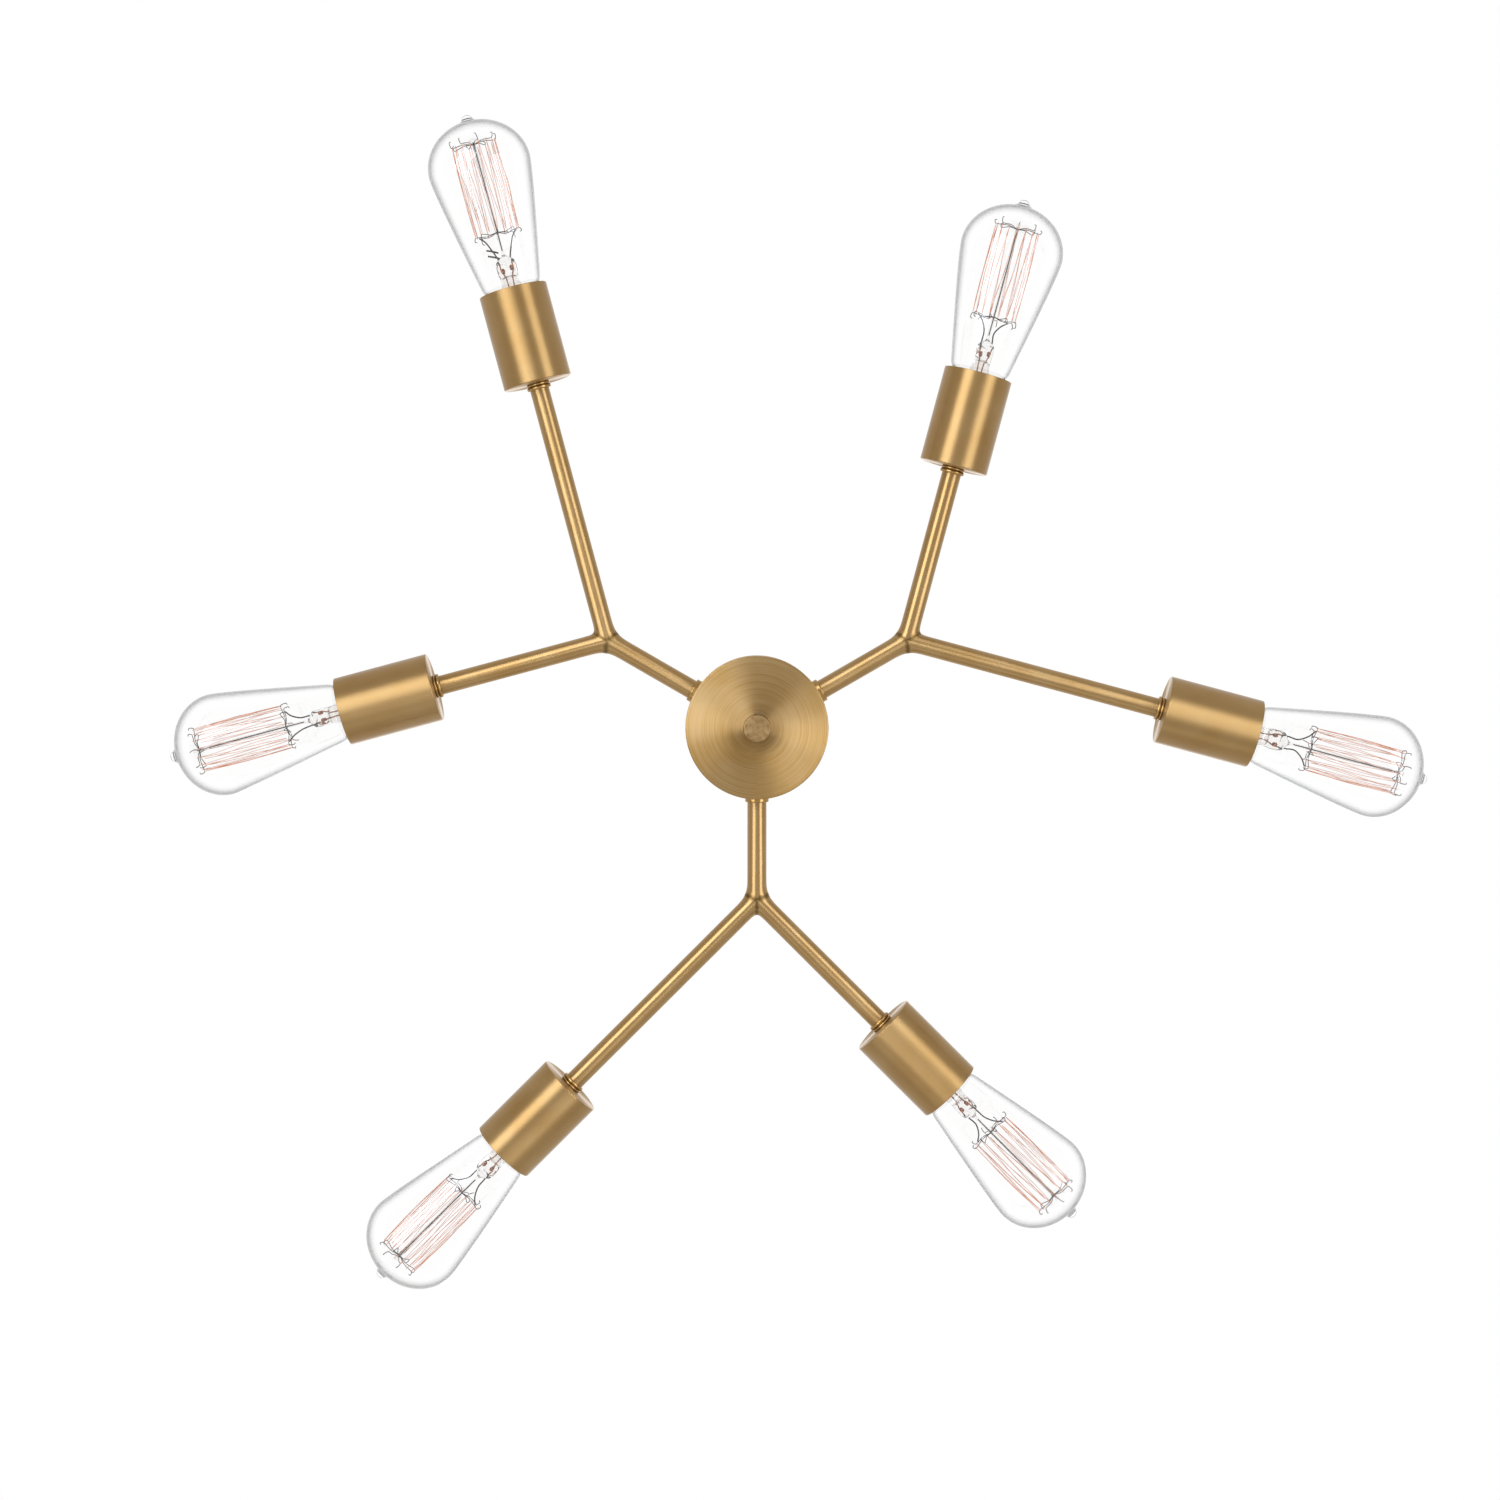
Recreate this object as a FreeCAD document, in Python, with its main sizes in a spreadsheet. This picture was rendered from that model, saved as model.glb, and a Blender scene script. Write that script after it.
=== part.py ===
"""Six-light sputnik ceiling fixture in brass: a cup-shaped hub with three forked arms, each
carrying a long and a short branch that ends in a socket cup with an open-filament lamp.

Frame: millimetres, +Z up, origin on the hub's axis in the plane of the ceiling. Everything
hangs below z = 0. Seen from above, each arm's long branch turns 45 degrees anticlockwise
from its stem and the short branch 45 degrees clockwise.
"""
import FreeCAD, Part

import math
import os
from types import SimpleNamespace

import Sketcher

# Driving sizes, in millimetres, degrees and counts. Each one is set by itself.
SIZES = {
    # hub: a spun cup, open at the ceiling, pulled up by a cap nut on a centre stud
    "hub_diameter": 88.0,
    "hub_depth": 66.0,
    "hub_wall": 1.2,
    "hub_face": 1.6,
    "hub_edge": 0.6,
    "arm_drop": 46.0,
    "cap_nut_diameter": 17.0,
    "cap_nut_height": 12.0,
    "cap_nut_edge": 0.6,
    "cap_nut_end_wall": 3.0,
    "stud_diameter": 6.0,
    "stud_clearance": 0.3,
    "thread_gap": 0.05,
    "stud_nut_flats": 10.0,
    "stud_nut_height": 5.0,
    # ceiling bracket: a steel bar with two fixing holes
    "bracket_length": 80.0,
    "bracket_width": 16.0,
    "bracket_thickness": 2.0,
    "bracket_corner": 3.0,
    "fixing_spacing": 69.85,
    "fixing_diameter": 4.8,
    # terminal block under the bracket
    "block_length": 20.0,
    "block_width": 14.0,
    "block_height": 12.0,
    "block_offset": 19.0,
    "block_bore": 3.2,
    "block_pitch": 6.4,
    # arms: one stem and two branches of the same tube, mitred together
    "arm_count": 3,
    "tube_diameter": 12.0,
    "tube_wall": 1.0,
    "stem_reach": 107.0,
    "long_branch": 164.5,
    "short_branch": 110.8,
    "branch_angle": 45.0,
    # nipples, collars and lock nuts that hold the tubes
    "nipple_wall": 1.5,
    "nipple_in_tube": 12.0,
    "nipple_past_nut": 2.0,
    "nipple_clearance": 0.15,
    "lock_nut_flats": 14.0,
    "lock_nut_height": 4.0,
    "hub_collar_diameter": 14.8,
    "hub_collar_length": 2.6,
    "collar_neck": 13.3,
    "large_bead_length": 2.5,
    "large_bead_rise": 0.85,
    "small_bead_length": 1.7,
    "small_bead_rise": 0.5,
    # socket cups and lampholders
    "cup_diameter": 42.4,
    "cup_length": 59.0,
    "cup_wall": 1.5,
    "cup_edge": 0.4,
    "holder_diameter": 36.0,
    "holder_base_diameter": 27.0,
    "holder_base_height": 10.0,
    "holder_grip": 8.0,
    "holder_recess": 5.0,
    "screw_shell_wall": 0.7,
    "screw_shell_length": 22.0,
    "contact_diameter": 10.0,
    "contact_height": 2.4,
    # lamps
    "lamp_length": 143.0,
    "lamp_inset": 32.0,
    "lamp_gap": 0.3,
    "cap_diameter": 26.4,
    "cap_wall": 0.4,
    "cap_tip_height": 1.6,
    "cap_tip_diameter": 9.0,
    "cap_cone_height": 4.6,
    "cap_shell_height": 20.8,
    "glass_wall": 0.8,
    "glass_diameter": 64.0,
    "glass_widest": 34.0,       # down from the lamp's end
    "glass_taper": 10.9,
    "glass_taper_start": 37.3,
    "glass_shoulder": 14.0,
    "glass_neck_diameter": 25.0,
    "glass_neck_in_cap": 4.0,
    "seal_tip_diameter": 6.4,
    "seal_tip_rise": 1.8,
    "seal_tip_base": 15.0,
    "mount_foot": 26.4,
    "mount_waist": 40.0,
    "mount_waist_diameter": 9.0,
    "mount_press_end": 50.0,
    "mount_rod_diameter": 2.4,
    "cage_start": 75.0,         # down from the lamp's end
    "cage_height": 57.0,
    "cage_diameter": 28.0,
    "cage_hooks": 9,
    "cage_wire": 0.4,
    "cage_ring_wall": 0.8,
}

BRANCHES = {"long": 1.0, "short": -1.0}
FIRST_ARM = 90.0


class Size:
    """A number together with the sheet expression that it comes from."""

    def __init__(self, number, text):
        self.number = number
        self.text = text

    def __add__(self, other):
        return joined(self, "+", other, lambda p, q: p + q)

    def __sub__(self, other):
        return joined(self, "-", other, lambda p, q: p - q)

    def __mul__(self, other):
        return joined(self, "*", other, lambda p, q: p * q)

    def __truediv__(self, other):
        return joined(self, "/", other, lambda p, q: p / q)

    def __radd__(self, other):
        return as_size(other) + self

    def __rsub__(self, other):
        return as_size(other) - self

    def __rmul__(self, other):
        return as_size(other) * self

    def __neg__(self):
        return as_size(0.0) - self


def as_size(value):
    """A plain number becomes a Size that stands for itself."""
    if isinstance(value, Size):
        return value
    return Size(float(value), repr(float(value)))


def joined(first, sign, second, work):
    first = as_size(first)
    second = as_size(second)
    return Size(work(first.number, second.number), f"({first.text} {sign} {second.text})")


def cosine(angle):
    angle = as_size(angle)
    return Size(math.cos(math.radians(angle.number)), f"cos({angle.text})")


def sine(angle):
    angle = as_size(angle)
    return Size(math.sin(math.radians(angle.number)), f"sin({angle.text})")


def tangent(angle):
    return sine(angle) / cosine(angle)


def square_root(value):
    return Size(math.sqrt(value.number), f"sqrt({value.text})")


doc = FreeCAD.newDocument("SputnikLight")
sheet = doc.addObject("Spreadsheet::Sheet", "Sizes")
for row, (name, value) in enumerate(SIZES.items(), start=1):
    sheet.set(f"A{row}", name)
    sheet.set(f"B{row}", str(value))
    sheet.setAlias(f"B{row}", name)
doc.recompute()


# every driving size by its own name, such as dim.hub_diameter
dim = SimpleNamespace(**{
    name: Size(float(sheet.get(name)), "Sizes." + name) for name in SIZES})


# ---------------------------------------------------------------- worked-out sizes

hub_radius = dim.hub_diameter / 2
tube_radius = dim.tube_diameter / 2
nipple_radius = tube_radius - dim.tube_wall
nipple_bore = nipple_radius - dim.nipple_wall
hub_collar_radius = dim.hub_collar_diameter / 2
cup_collar_length = dim.large_bead_length + dim.small_bead_length
stud_radius = dim.stud_diameter / 2
cup_radius = dim.cup_diameter / 2
cup_bore = cup_radius - dim.cup_wall
holder_radius = dim.holder_diameter / 2
cap_radius = dim.cap_diameter / 2
arm_step = 360.0 / SIZES["arm_count"]

# heights inside a socket cup, measured from the outside of its closed end
lock_nut_top = dim.cup_wall + dim.lock_nut_height
holder_mouth = dim.cup_length - dim.holder_recess
lamp_foot = dim.cup_length - dim.lamp_inset
contact_top = lamp_foot - dim.lamp_gap
holder_floor = contact_top - dim.contact_height
screw_shell_radius = cap_radius + dim.lamp_gap
holder_bore = screw_shell_radius + dim.screw_shell_wall

nipple_top = lock_nut_top + dim.holder_grip

# heights on a lamp, measured from the tip of its contact
cap_cone_top = dim.cap_tip_height + dim.cap_cone_height
cap_top = cap_cone_top + dim.cap_shell_height
neck_radius = dim.glass_neck_diameter / 2
neck_foot = cap_top - dim.glass_neck_in_cap
dome_centre = dim.lamp_length - dim.glass_widest
cage_foot = dim.lamp_length - dim.cage_start


# ---------------------------------------------------------------- drawing helpers

def bind(item, path, value):
    item.setExpression(path, as_size(value).text)


def origin_plane(body, role):
    return [part for part in body.Origin.OriginFeatures if part.Role == role][0]


def new_sketch(body, name, role):
    sketch = body.newObject("Sketcher::SketchObject", name)
    sketch.AttachmentSupport = (origin_plane(body, role), [""])
    sketch.MapMode = "FlatFace"
    return sketch


def arc_between(start, end, radius):
    """The short arc from start to end; a positive radius turns anticlockwise."""
    chord = end - start
    half = chord.Length / 2
    rise = math.sqrt(max(radius * radius - half * half, 0.0))
    side = FreeCAD.Vector(-chord.y, chord.x, 0).normalize()
    sign = 1.0 if radius > 0 else -1.0
    centre = (start + end) / 2 + side * rise * sign
    middle = centre - side * abs(radius) * sign
    return Part.Arc(start, middle, end)


def draw(sketch, corners, arcs=None):
    """A closed outline of (across, up) corners, locked to the sketch's origin.

    arcs gives the edges that are arcs: the number of the corner before it, and its radius.
    """
    arcs = arcs or {}
    spots = [(as_size(across), as_size(up)) for across, up in corners]
    points = [FreeCAD.Vector(across.number, up.number, 0) for across, up in spots]
    first = sketch.GeometryCount
    count = len(points)
    start_end = []
    for index, point in enumerate(points):
        following = points[(index + 1) % count]
        if index in arcs:
            radius = as_size(arcs[index])
            sketch.addGeometry(arc_between(point, following, radius.number), False)
            # Sketcher keeps every arc anticlockwise, so a clockwise one has its ends swapped
            start_end.append((1, 2) if radius.number > 0 else (2, 1))
        else:
            sketch.addGeometry(Part.LineSegment(point, following), False)
            start_end.append((1, 2))
    for index in range(count):
        following = (index + 1) % count
        sketch.addConstraint(Sketcher.Constraint(
            "Coincident", first + index, start_end[index][1],
            first + following, start_end[following][0]))
    for index, (across, up) in enumerate(spots):
        lock_point(sketch, first + index, start_end[index][0], across, up)
    for index, radius in arcs.items():
        radius = as_size(radius)
        number = abs(radius.number)
        place = sketch.addConstraint(Sketcher.Constraint("Radius", first + index, number))
        bind(sketch, f"Constraints[{place}]", Size(number, f"abs({radius.text})"))


def lock_point(sketch, edge, end, across, up):
    """Holds one point of an edge at its distances from the origin."""
    for kind, value, axis in (("DistanceX", across, -2), ("DistanceY", up, -1)):
        if value.number == 0.0:
            sketch.addConstraint(Sketcher.Constraint("PointOnObject", edge, end, axis))
        else:
            place = sketch.addConstraint(
                Sketcher.Constraint(kind, -1, 1, edge, end, value.number))
            bind(sketch, f"Constraints[{place}]", value)


def draw_circle(sketch, across, up, radius):
    across = as_size(across)
    up = as_size(up)
    centre = FreeCAD.Vector(across.number, up.number, 0)
    edge = sketch.addGeometry(
        Part.Circle(centre, FreeCAD.Vector(0, 0, 1), radius.number), False)
    lock_point(sketch, edge, 3, across, up)
    place = sketch.addConstraint(Sketcher.Constraint("Radius", edge, radius.number))
    bind(sketch, f"Constraints[{place}]", radius)


def new_body(label):
    body = doc.addObject("PartDesign::Body", label)
    body.Label = label
    return body


def turned(label, corners, arcs=None):
    """A piece turned on a lathe: its half outline, (radius, height), revolved about Z."""
    body = new_body(label)
    sketch = new_sketch(body, label + "_outline", "XZ_Plane")
    draw(sketch, corners, arcs)
    turn = body.newObject("PartDesign::Revolution", label + "_turn")
    turn.Profile = sketch
    turn.ReferenceAxis = (sketch, ["V_Axis"])
    turn.Angle = 360.0
    return body


def pad(body, sketch, length):
    feature = body.newObject("PartDesign::Pad", sketch.Name + "_pad")
    feature.Profile = sketch
    bind(feature, "Length", length)
    return feature


def cut_through(body, sketch, length):
    """Cuts a sketch's outline to both sides of its plane, length in all."""
    feature = body.newObject("PartDesign::Pocket", sketch.Name + "_cut")
    feature.Profile = sketch
    feature.Midplane = True
    bind(feature, "Length", length)
    return feature


def cylinder(label, radius, height, base=0.0):
    tool = doc.addObject("Part::Cylinder", label)
    tool.Label = label
    bind(tool, "Radius", radius)
    bind(tool, "Height", height)
    bind(tool, "Placement.Base.z", base)
    return tool


def cut(label, base, tool):
    result = doc.addObject("Part::Cut", label)
    result.Label = label
    result.Base = base
    result.Tool = tool
    return result


def ring(label, outer, inner, height):
    return cut(label, cylinder(label + "_outside", outer, height),
               cylinder(label + "_bore", inner, height))


def hexagon_nut(label, flats, bore, height):
    body = doc.addObject("Part::Prism", label + "_hexagon")
    body.Polygon = 6
    bind(body, "Circumradius", flats / 2 / cosine(30))
    bind(body, "Height", height)
    return cut(label, body, cylinder(label + "_bore", bore, height))


def group(label, pieces):
    """Identical small pieces that share one node, as separate solids."""
    together = doc.addObject("Part::Compound", label)
    together.Label = label
    together.Links = pieces
    return together


# ---------------------------------------------------------------- placing

def stand(item, along, reach, height=0.0):
    """Puts a piece made along Z on a level line from the axis: along is the line's
    direction in degrees, and its foot is reach millimetres out and height below zero."""
    lay(item, as_size(along), reach * cosine(along), reach * sine(along), height)


def lay(item, along, across, deep, height):
    """Turns a piece made along Z to point level along an angle, with its Y axis upwards."""
    angle = math.radians(along.number)
    forward = FreeCAD.Vector(math.cos(angle), math.sin(angle), 0)
    upward = FreeCAD.Vector(0, 0, 1)
    turn = FreeCAD.Rotation(upward.cross(forward), upward, forward, "ZYX")
    spot = (as_size(across), as_size(deep), as_size(height))
    item.Placement = FreeCAD.Placement(FreeCAD.Vector(*[part.number for part in spot]), turn)
    for letter, part in zip("xyz", spot):
        bind(item, f"Placement.Base.{letter}", part)


def arm_angle(arm):
    return as_size(FIRST_ARM + arm * arm_step)


def branch_direction(arm, branch):
    return arm_angle(arm) + dim.branch_angle * BRANCHES[branch]


def branch_length(branch):
    return dim.long_branch if branch == "long" else dim.short_branch


def on_branch(item, arm, branch, distance):
    """Puts a piece on a branch's axis, distance from the fork, pointing outwards."""
    stem = arm_angle(arm)
    along = branch_direction(arm, branch)
    lay(item, along,
        dim.stem_reach * cosine(stem) + distance * cosine(along),
        dim.stem_reach * sine(stem) + distance * sine(along),
        -dim.arm_drop)


ARMS = [(number, "abc"[number] if number < 3 else f"arm{number}")
        for number in range(int(SIZES["arm_count"]))]
SOCKETS = [(number, letter, branch) for number, letter in ARMS for branch in BRANCHES]


# ---------------------------------------------------------------- hub and ceiling fixing

def make_bracket():
    body = new_body("ceiling_bracket")
    half_length = dim.bracket_length / 2
    half_width = dim.bracket_width / 2
    plate = new_sketch(body, "bracket_plate", "XY_Plane")
    draw(plate, [(-half_length, -half_width), (half_length, -half_width),
                 (half_length, half_width), (-half_length, half_width)])
    feature = pad(body, plate, dim.bracket_thickness)
    feature.Reversed = True
    doc.recompute()
    corners = [f"Edge{number}" for number, edge in enumerate(feature.Shape.Edges, start=1)
               if abs(edge.tangentAt(edge.FirstParameter).z) > 0.9]
    rounding = body.newObject("PartDesign::Fillet", "bracket_corners")
    rounding.Base = (feature, corners)
    bind(rounding, "Radius", dim.bracket_corner)
    holes = new_sketch(body, "bracket_holes", "XY_Plane")
    half_spacing = dim.fixing_spacing / 2
    draw_circle(holes, 0.0, 0.0, stud_radius)
    draw_circle(holes, -half_spacing, 0.0, dim.fixing_diameter / 2)
    draw_circle(holes, half_spacing, 0.0, dim.fixing_diameter / 2)
    cut_through(body, holes, 3 * dim.bracket_thickness)
    return body


def make_hub_cup():
    inner = hub_radius - dim.hub_wall
    bore = stud_radius + dim.stud_clearance
    floor = -dim.hub_depth + dim.hub_face
    body = turned("hub_cup", [
        (bore, -dim.hub_depth),
        (hub_radius - dim.hub_edge, -dim.hub_depth),
        (hub_radius, -dim.hub_depth + dim.hub_edge),
        (hub_radius, 0.0),
        (inner, 0.0),
        (inner, floor),
        (bore, floor),
    ])
    side = new_sketch(body, "hub_side_hole", "XZ_Plane")
    draw_circle(side, 0.0, -dim.arm_drop, nipple_radius + dim.nipple_clearance)
    hole = body.newObject("PartDesign::Pocket", "hub_side_cut")
    hole.Profile = side
    bind(hole, "Length", dim.hub_diameter)
    pattern = body.newObject("PartDesign::PolarPattern", "hub_side_holes")
    pattern.Originals = [hole]
    pattern.Axis = (origin_plane(body, "Z_Axis"), [""])
    pattern.Angle = 360.0
    pattern.Occurrences = int(SIZES["arm_count"])
    body.Tip = pattern
    return body


def make_cap_nut():
    radius = dim.cap_nut_diameter / 2
    top = -dim.hub_depth
    end = top - dim.cap_nut_height
    bore = stud_radius + dim.thread_gap
    return turned("cap_nut", [
        (0.0, end),
        (radius - dim.cap_nut_edge, end),
        (radius, end + dim.cap_nut_edge),
        (radius, top),
        (bore, top),
        (bore, end + dim.cap_nut_end_wall),
        (0.0, end + dim.cap_nut_end_wall),
    ])


def make_stud():
    end = dim.hub_depth + dim.cap_nut_height - dim.cap_nut_end_wall - dim.stud_clearance
    stud = cylinder("centre_stud", stud_radius, end, -end)
    nut = hexagon_nut("stud_nut", dim.stud_nut_flats, stud_radius, dim.stud_nut_height)
    bind(nut, "Placement.Base.z", -dim.bracket_thickness - dim.stud_nut_height)
    return [stud, nut]


def make_terminal_block():
    """Three poles: a wire entry right through each, and a screw well up from below."""
    body = new_body("terminal_block")
    half_length = dim.block_length / 2
    top = -dim.bracket_thickness
    face = new_sketch(body, "block_face", "XZ_Plane")
    draw(face, [(dim.block_offset - half_length, top - dim.block_height),
                (dim.block_offset + half_length, top - dim.block_height),
                (dim.block_offset + half_length, top),
                (dim.block_offset - half_length, top)])
    feature = pad(body, face, dim.block_width)
    feature.Midplane = True
    entries = new_sketch(body, "block_entries", "XZ_Plane")
    for side in (-1, 0, 1):
        across = dim.block_offset + side * dim.block_pitch
        draw_circle(entries, across, top - dim.block_height / 2, dim.block_bore / 2)
    cut_through(body, entries, 2 * dim.block_width)
    return body


# ---------------------------------------------------------------- arms

def tube(label, length, left, right):
    """A straight tube along Z. Its foot is mitred to a neighbour on each side of the fork:
    left and right are the angles in degrees between the tube and those neighbours."""
    body = new_body(label)
    section = new_sketch(body, label + "_section", "XY_Plane")
    draw_circle(section, 0.0, 0.0, tube_radius)
    draw_circle(section, 0.0, 0.0, nipple_radius)
    pad(body, section, length)
    wide = dim.tube_diameter
    notch = new_sketch(body, label + "_mitre", "XZ_Plane")
    draw(notch, [(0.0, 0.0), (-wide, wide / tangent(right / 2)), (-wide, -wide),
                 (wide, -wide), (wide, wide / tangent(left / 2))])
    cut_through(body, notch, 2 * wide)
    return body


def make_arm(arm, letter):
    """The stem and its two branches, meeting edge to edge at the fork."""
    to_stem = 180 - dim.branch_angle
    between = 2 * dim.branch_angle
    stem_start = hub_radius + dim.hub_collar_length
    stem = tube(f"stem_tube_{letter}", dim.stem_reach - stem_start, to_stem, to_stem)
    outward = arm_angle(arm)
    lay(stem, outward + 180, dim.stem_reach * cosine(outward),
        dim.stem_reach * sine(outward), -dim.arm_drop)
    pieces = [stem]
    for branch in BRANCHES:
        sides = (to_stem, between) if branch == "long" else (between, to_stem)
        piece = tube(f"{branch}_tube_{letter}", branch_length(branch) - cup_collar_length,
                     *sides)
        on_branch(piece, arm, branch, as_size(0.0))
        pieces.append(piece)
    return pieces


def make_hub_collar(arm, letter):
    """A ring whose inner end is hollowed to sit on the round side of the hub."""
    inner_end = hub_radius - hub_collar_radius / 2
    plain = ring(f"hub_collar_blank_{letter}", hub_collar_radius, nipple_radius,
                 hub_radius + dim.hub_collar_length - inner_end)
    stand(plain, arm_angle(arm), inner_end, -dim.arm_drop)
    hub = cylinder(f"hub_collar_saddle_{letter}", hub_radius, 2 * dim.hub_collar_diameter,
                   -dim.arm_drop - dim.hub_collar_diameter)
    return cut(f"hub_collar_{letter}", plain, hub)


def make_hub_joint(arm, letter):
    """The nipple that joins a stem to the hub, and the nut inside that locks it."""
    wall = hub_radius - dim.hub_wall
    half_nut = dim.lock_nut_flats / 2 / cosine(30)
    nut_face = square_root(wall * wall - half_nut * half_nut)
    nut_back = nut_face - dim.lock_nut_height
    nut = hexagon_nut(f"arm_lock_nut_{letter}", dim.lock_nut_flats, nipple_radius,
                      dim.lock_nut_height)
    stand(nut, arm_angle(arm), nut_back, -dim.arm_drop)
    start = nut_back - dim.nipple_past_nut
    end = hub_radius + dim.hub_collar_length + dim.nipple_in_tube
    nipple = ring(f"arm_nipple_{letter}", nipple_radius, nipple_bore, end - start)
    stand(nipple, arm_angle(arm), start, -dim.arm_drop)
    return nipple, nut


# ---------------------------------------------------------------- sockets

def on_socket(item, arm, branch, distance=0.0):
    """Puts a piece on a socket's axis, distance from the outside of the cup's closed end."""
    on_branch(item, arm, branch, branch_length(branch) + distance)
    return item


def make_cup_collar(name):
    """Two turned beads with a groove between them; the one by the tube is the larger."""
    neck = dim.collar_neck / 2
    return turned(f"cup_collar_{name}", [
        (nipple_radius, 0.0),
        (neck, 0.0),
        (neck + dim.large_bead_rise, dim.large_bead_length / 2),
        (neck, dim.large_bead_length),
        (neck + dim.small_bead_rise, dim.large_bead_length + dim.small_bead_length / 2),
        (neck, cup_collar_length),
        (nipple_radius, cup_collar_length),
    ])


def make_socket_cup(name):
    hole = nipple_radius + dim.nipple_clearance
    return turned(f"socket_cup_{name}", [
        (hole, 0.0),
        (cup_radius - dim.cup_edge, 0.0),
        (cup_radius, dim.cup_edge),
        (cup_radius, dim.cup_length),
        (cup_bore, dim.cup_length),
        (cup_bore, dim.cup_wall),
        (hole, dim.cup_wall),
    ])


def make_lampholder(name):
    """The moulded insulator: a stepped foot that screws on the nipple, and an open bore."""
    foot_radius = dim.holder_base_diameter / 2
    shoulder = lock_nut_top + dim.holder_base_height
    return turned(f"lampholder_{name}", [
        (nipple_radius, lock_nut_top),
        (foot_radius, lock_nut_top),
        (foot_radius, shoulder),
        (holder_radius, shoulder),
        (holder_radius, holder_mouth),
        (holder_bore, holder_mouth),
        (holder_bore, holder_floor),
        (nipple_bore, holder_floor),
        (nipple_bore, nipple_top),
        (nipple_radius, nipple_top),
    ])


def make_socket_fittings(name):
    """The small pieces on a socket's axis: nipple, lock nut, screw shell and contact."""
    nipple_start = cup_collar_length + dim.nipple_in_tube
    nipple = ring(f"cup_nipple_{name}", nipple_radius, nipple_bore, nipple_start + nipple_top)
    nut = hexagon_nut(f"cup_lock_nut_{name}", dim.lock_nut_flats, nipple_radius,
                      dim.lock_nut_height)
    shell = ring(f"screw_shell_{name}", holder_bore, screw_shell_radius,
                 dim.screw_shell_length)
    contact = cylinder(f"contact_{name}", dim.contact_diameter / 2, dim.contact_height)
    return {
        "cup_nipples": (nipple, -nipple_start),
        "cup_lock_nuts": (nut, dim.cup_wall),
        "screw_shells": (shell, holder_mouth - dim.screw_shell_length),
        "centre_contacts": (contact, holder_floor),
    }


# ---------------------------------------------------------------- lamps

def make_lamp_cap(name):
    """Contact tip, black insulating cone and screw shell, as one closed metal cup."""
    tip_radius = dim.cap_tip_diameter / 2
    inner = cap_radius - dim.cap_wall
    return turned(f"lamp_cap_{name}", [
        (0.0, 0.0),
        (tip_radius, 0.0),
        (tip_radius, dim.cap_tip_height),
        (cap_radius, cap_cone_top),
        (cap_radius, cap_top),
        (inner, cap_top),
        (inner, cap_cone_top + dim.cap_wall),
        (0.0, cap_cone_top + dim.cap_wall),
    ])


def glass_half(wall):
    """Corners of the glass, thinner than its outside by wall: where the neck starts and
    ends, where the taper starts, and where it touches the dome. Then the two arc radii.

    The dome is a sphere, the taper is a straight line that touches it, and the shoulder is
    an arc that touches the taper and runs down to the neck.
    """
    neck = dim.glass_neck_diameter / 2 - wall
    dome = dim.glass_diameter / 2 - wall
    shoulder = dim.glass_shoulder - wall
    slope_cos = cosine(dim.glass_taper)
    slope_sin = sine(dim.glass_taper)
    touch = (dome * slope_cos, dome_centre - dome * slope_sin)
    start = dim.glass_taper_start
    taper_radius = touch[0] - (touch[1] - start) * slope_sin / slope_cos
    centre = (taper_radius - shoulder * slope_cos, start + shoulder * slope_sin)
    inward = neck - centre[0]
    neck_end = centre[1] - square_root(shoulder * shoulder - inward * inward)
    corners = [(neck, neck_foot), (neck, neck_end), (taper_radius, start), touch]
    return corners, shoulder, dome


def make_glass(name):
    """The blown envelope, open at its neck, with the sealed-off tip at its top."""
    outside, shoulder, dome = glass_half(as_size(0.0))
    inside, inner_shoulder, inner_dome = glass_half(dim.glass_wall)
    tip = dim.seal_tip_diameter / 2
    rise = dim.seal_tip_rise
    base = dim.seal_tip_base / 2
    base_height = dome_centre + square_root(dome * dome - base * base)
    ball = (tip * tip + rise * rise) / (2 * rise)
    top = [(base, base_height), (tip, dim.lamp_length - rise), (0.0, dim.lamp_length),
           (0.0, dome_centre + inner_dome)]
    return turned(f"lamp_glass_{name}", outside + top + inside[::-1],
                  {1: shoulder, 3: dome, 5: ball, 7: -inner_dome, 9: -inner_shoulder})


def make_mount(name):
    """The glass mount: a flared foot in the neck, a pinched press and a centre rod."""
    foot_radius = neck_radius - dim.glass_wall
    waist = dim.mount_waist_diameter / 2
    rod = dim.mount_rod_diameter / 2
    foot_end = dim.mount_foot + 2 * dim.glass_wall
    rod_end = cage_foot + dim.cage_height + dim.mount_rod_diameter
    return turned(f"lamp_mount_{name}", [
        (0.0, dim.mount_foot),
        (foot_radius, dim.mount_foot),
        (foot_radius, foot_end),
        (waist, dim.mount_waist),
        (waist, dim.mount_press_end),
        (rod, dim.mount_press_end + waist),
        (rod, rod_end),
        (0.0, rod_end),
    ])


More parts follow.
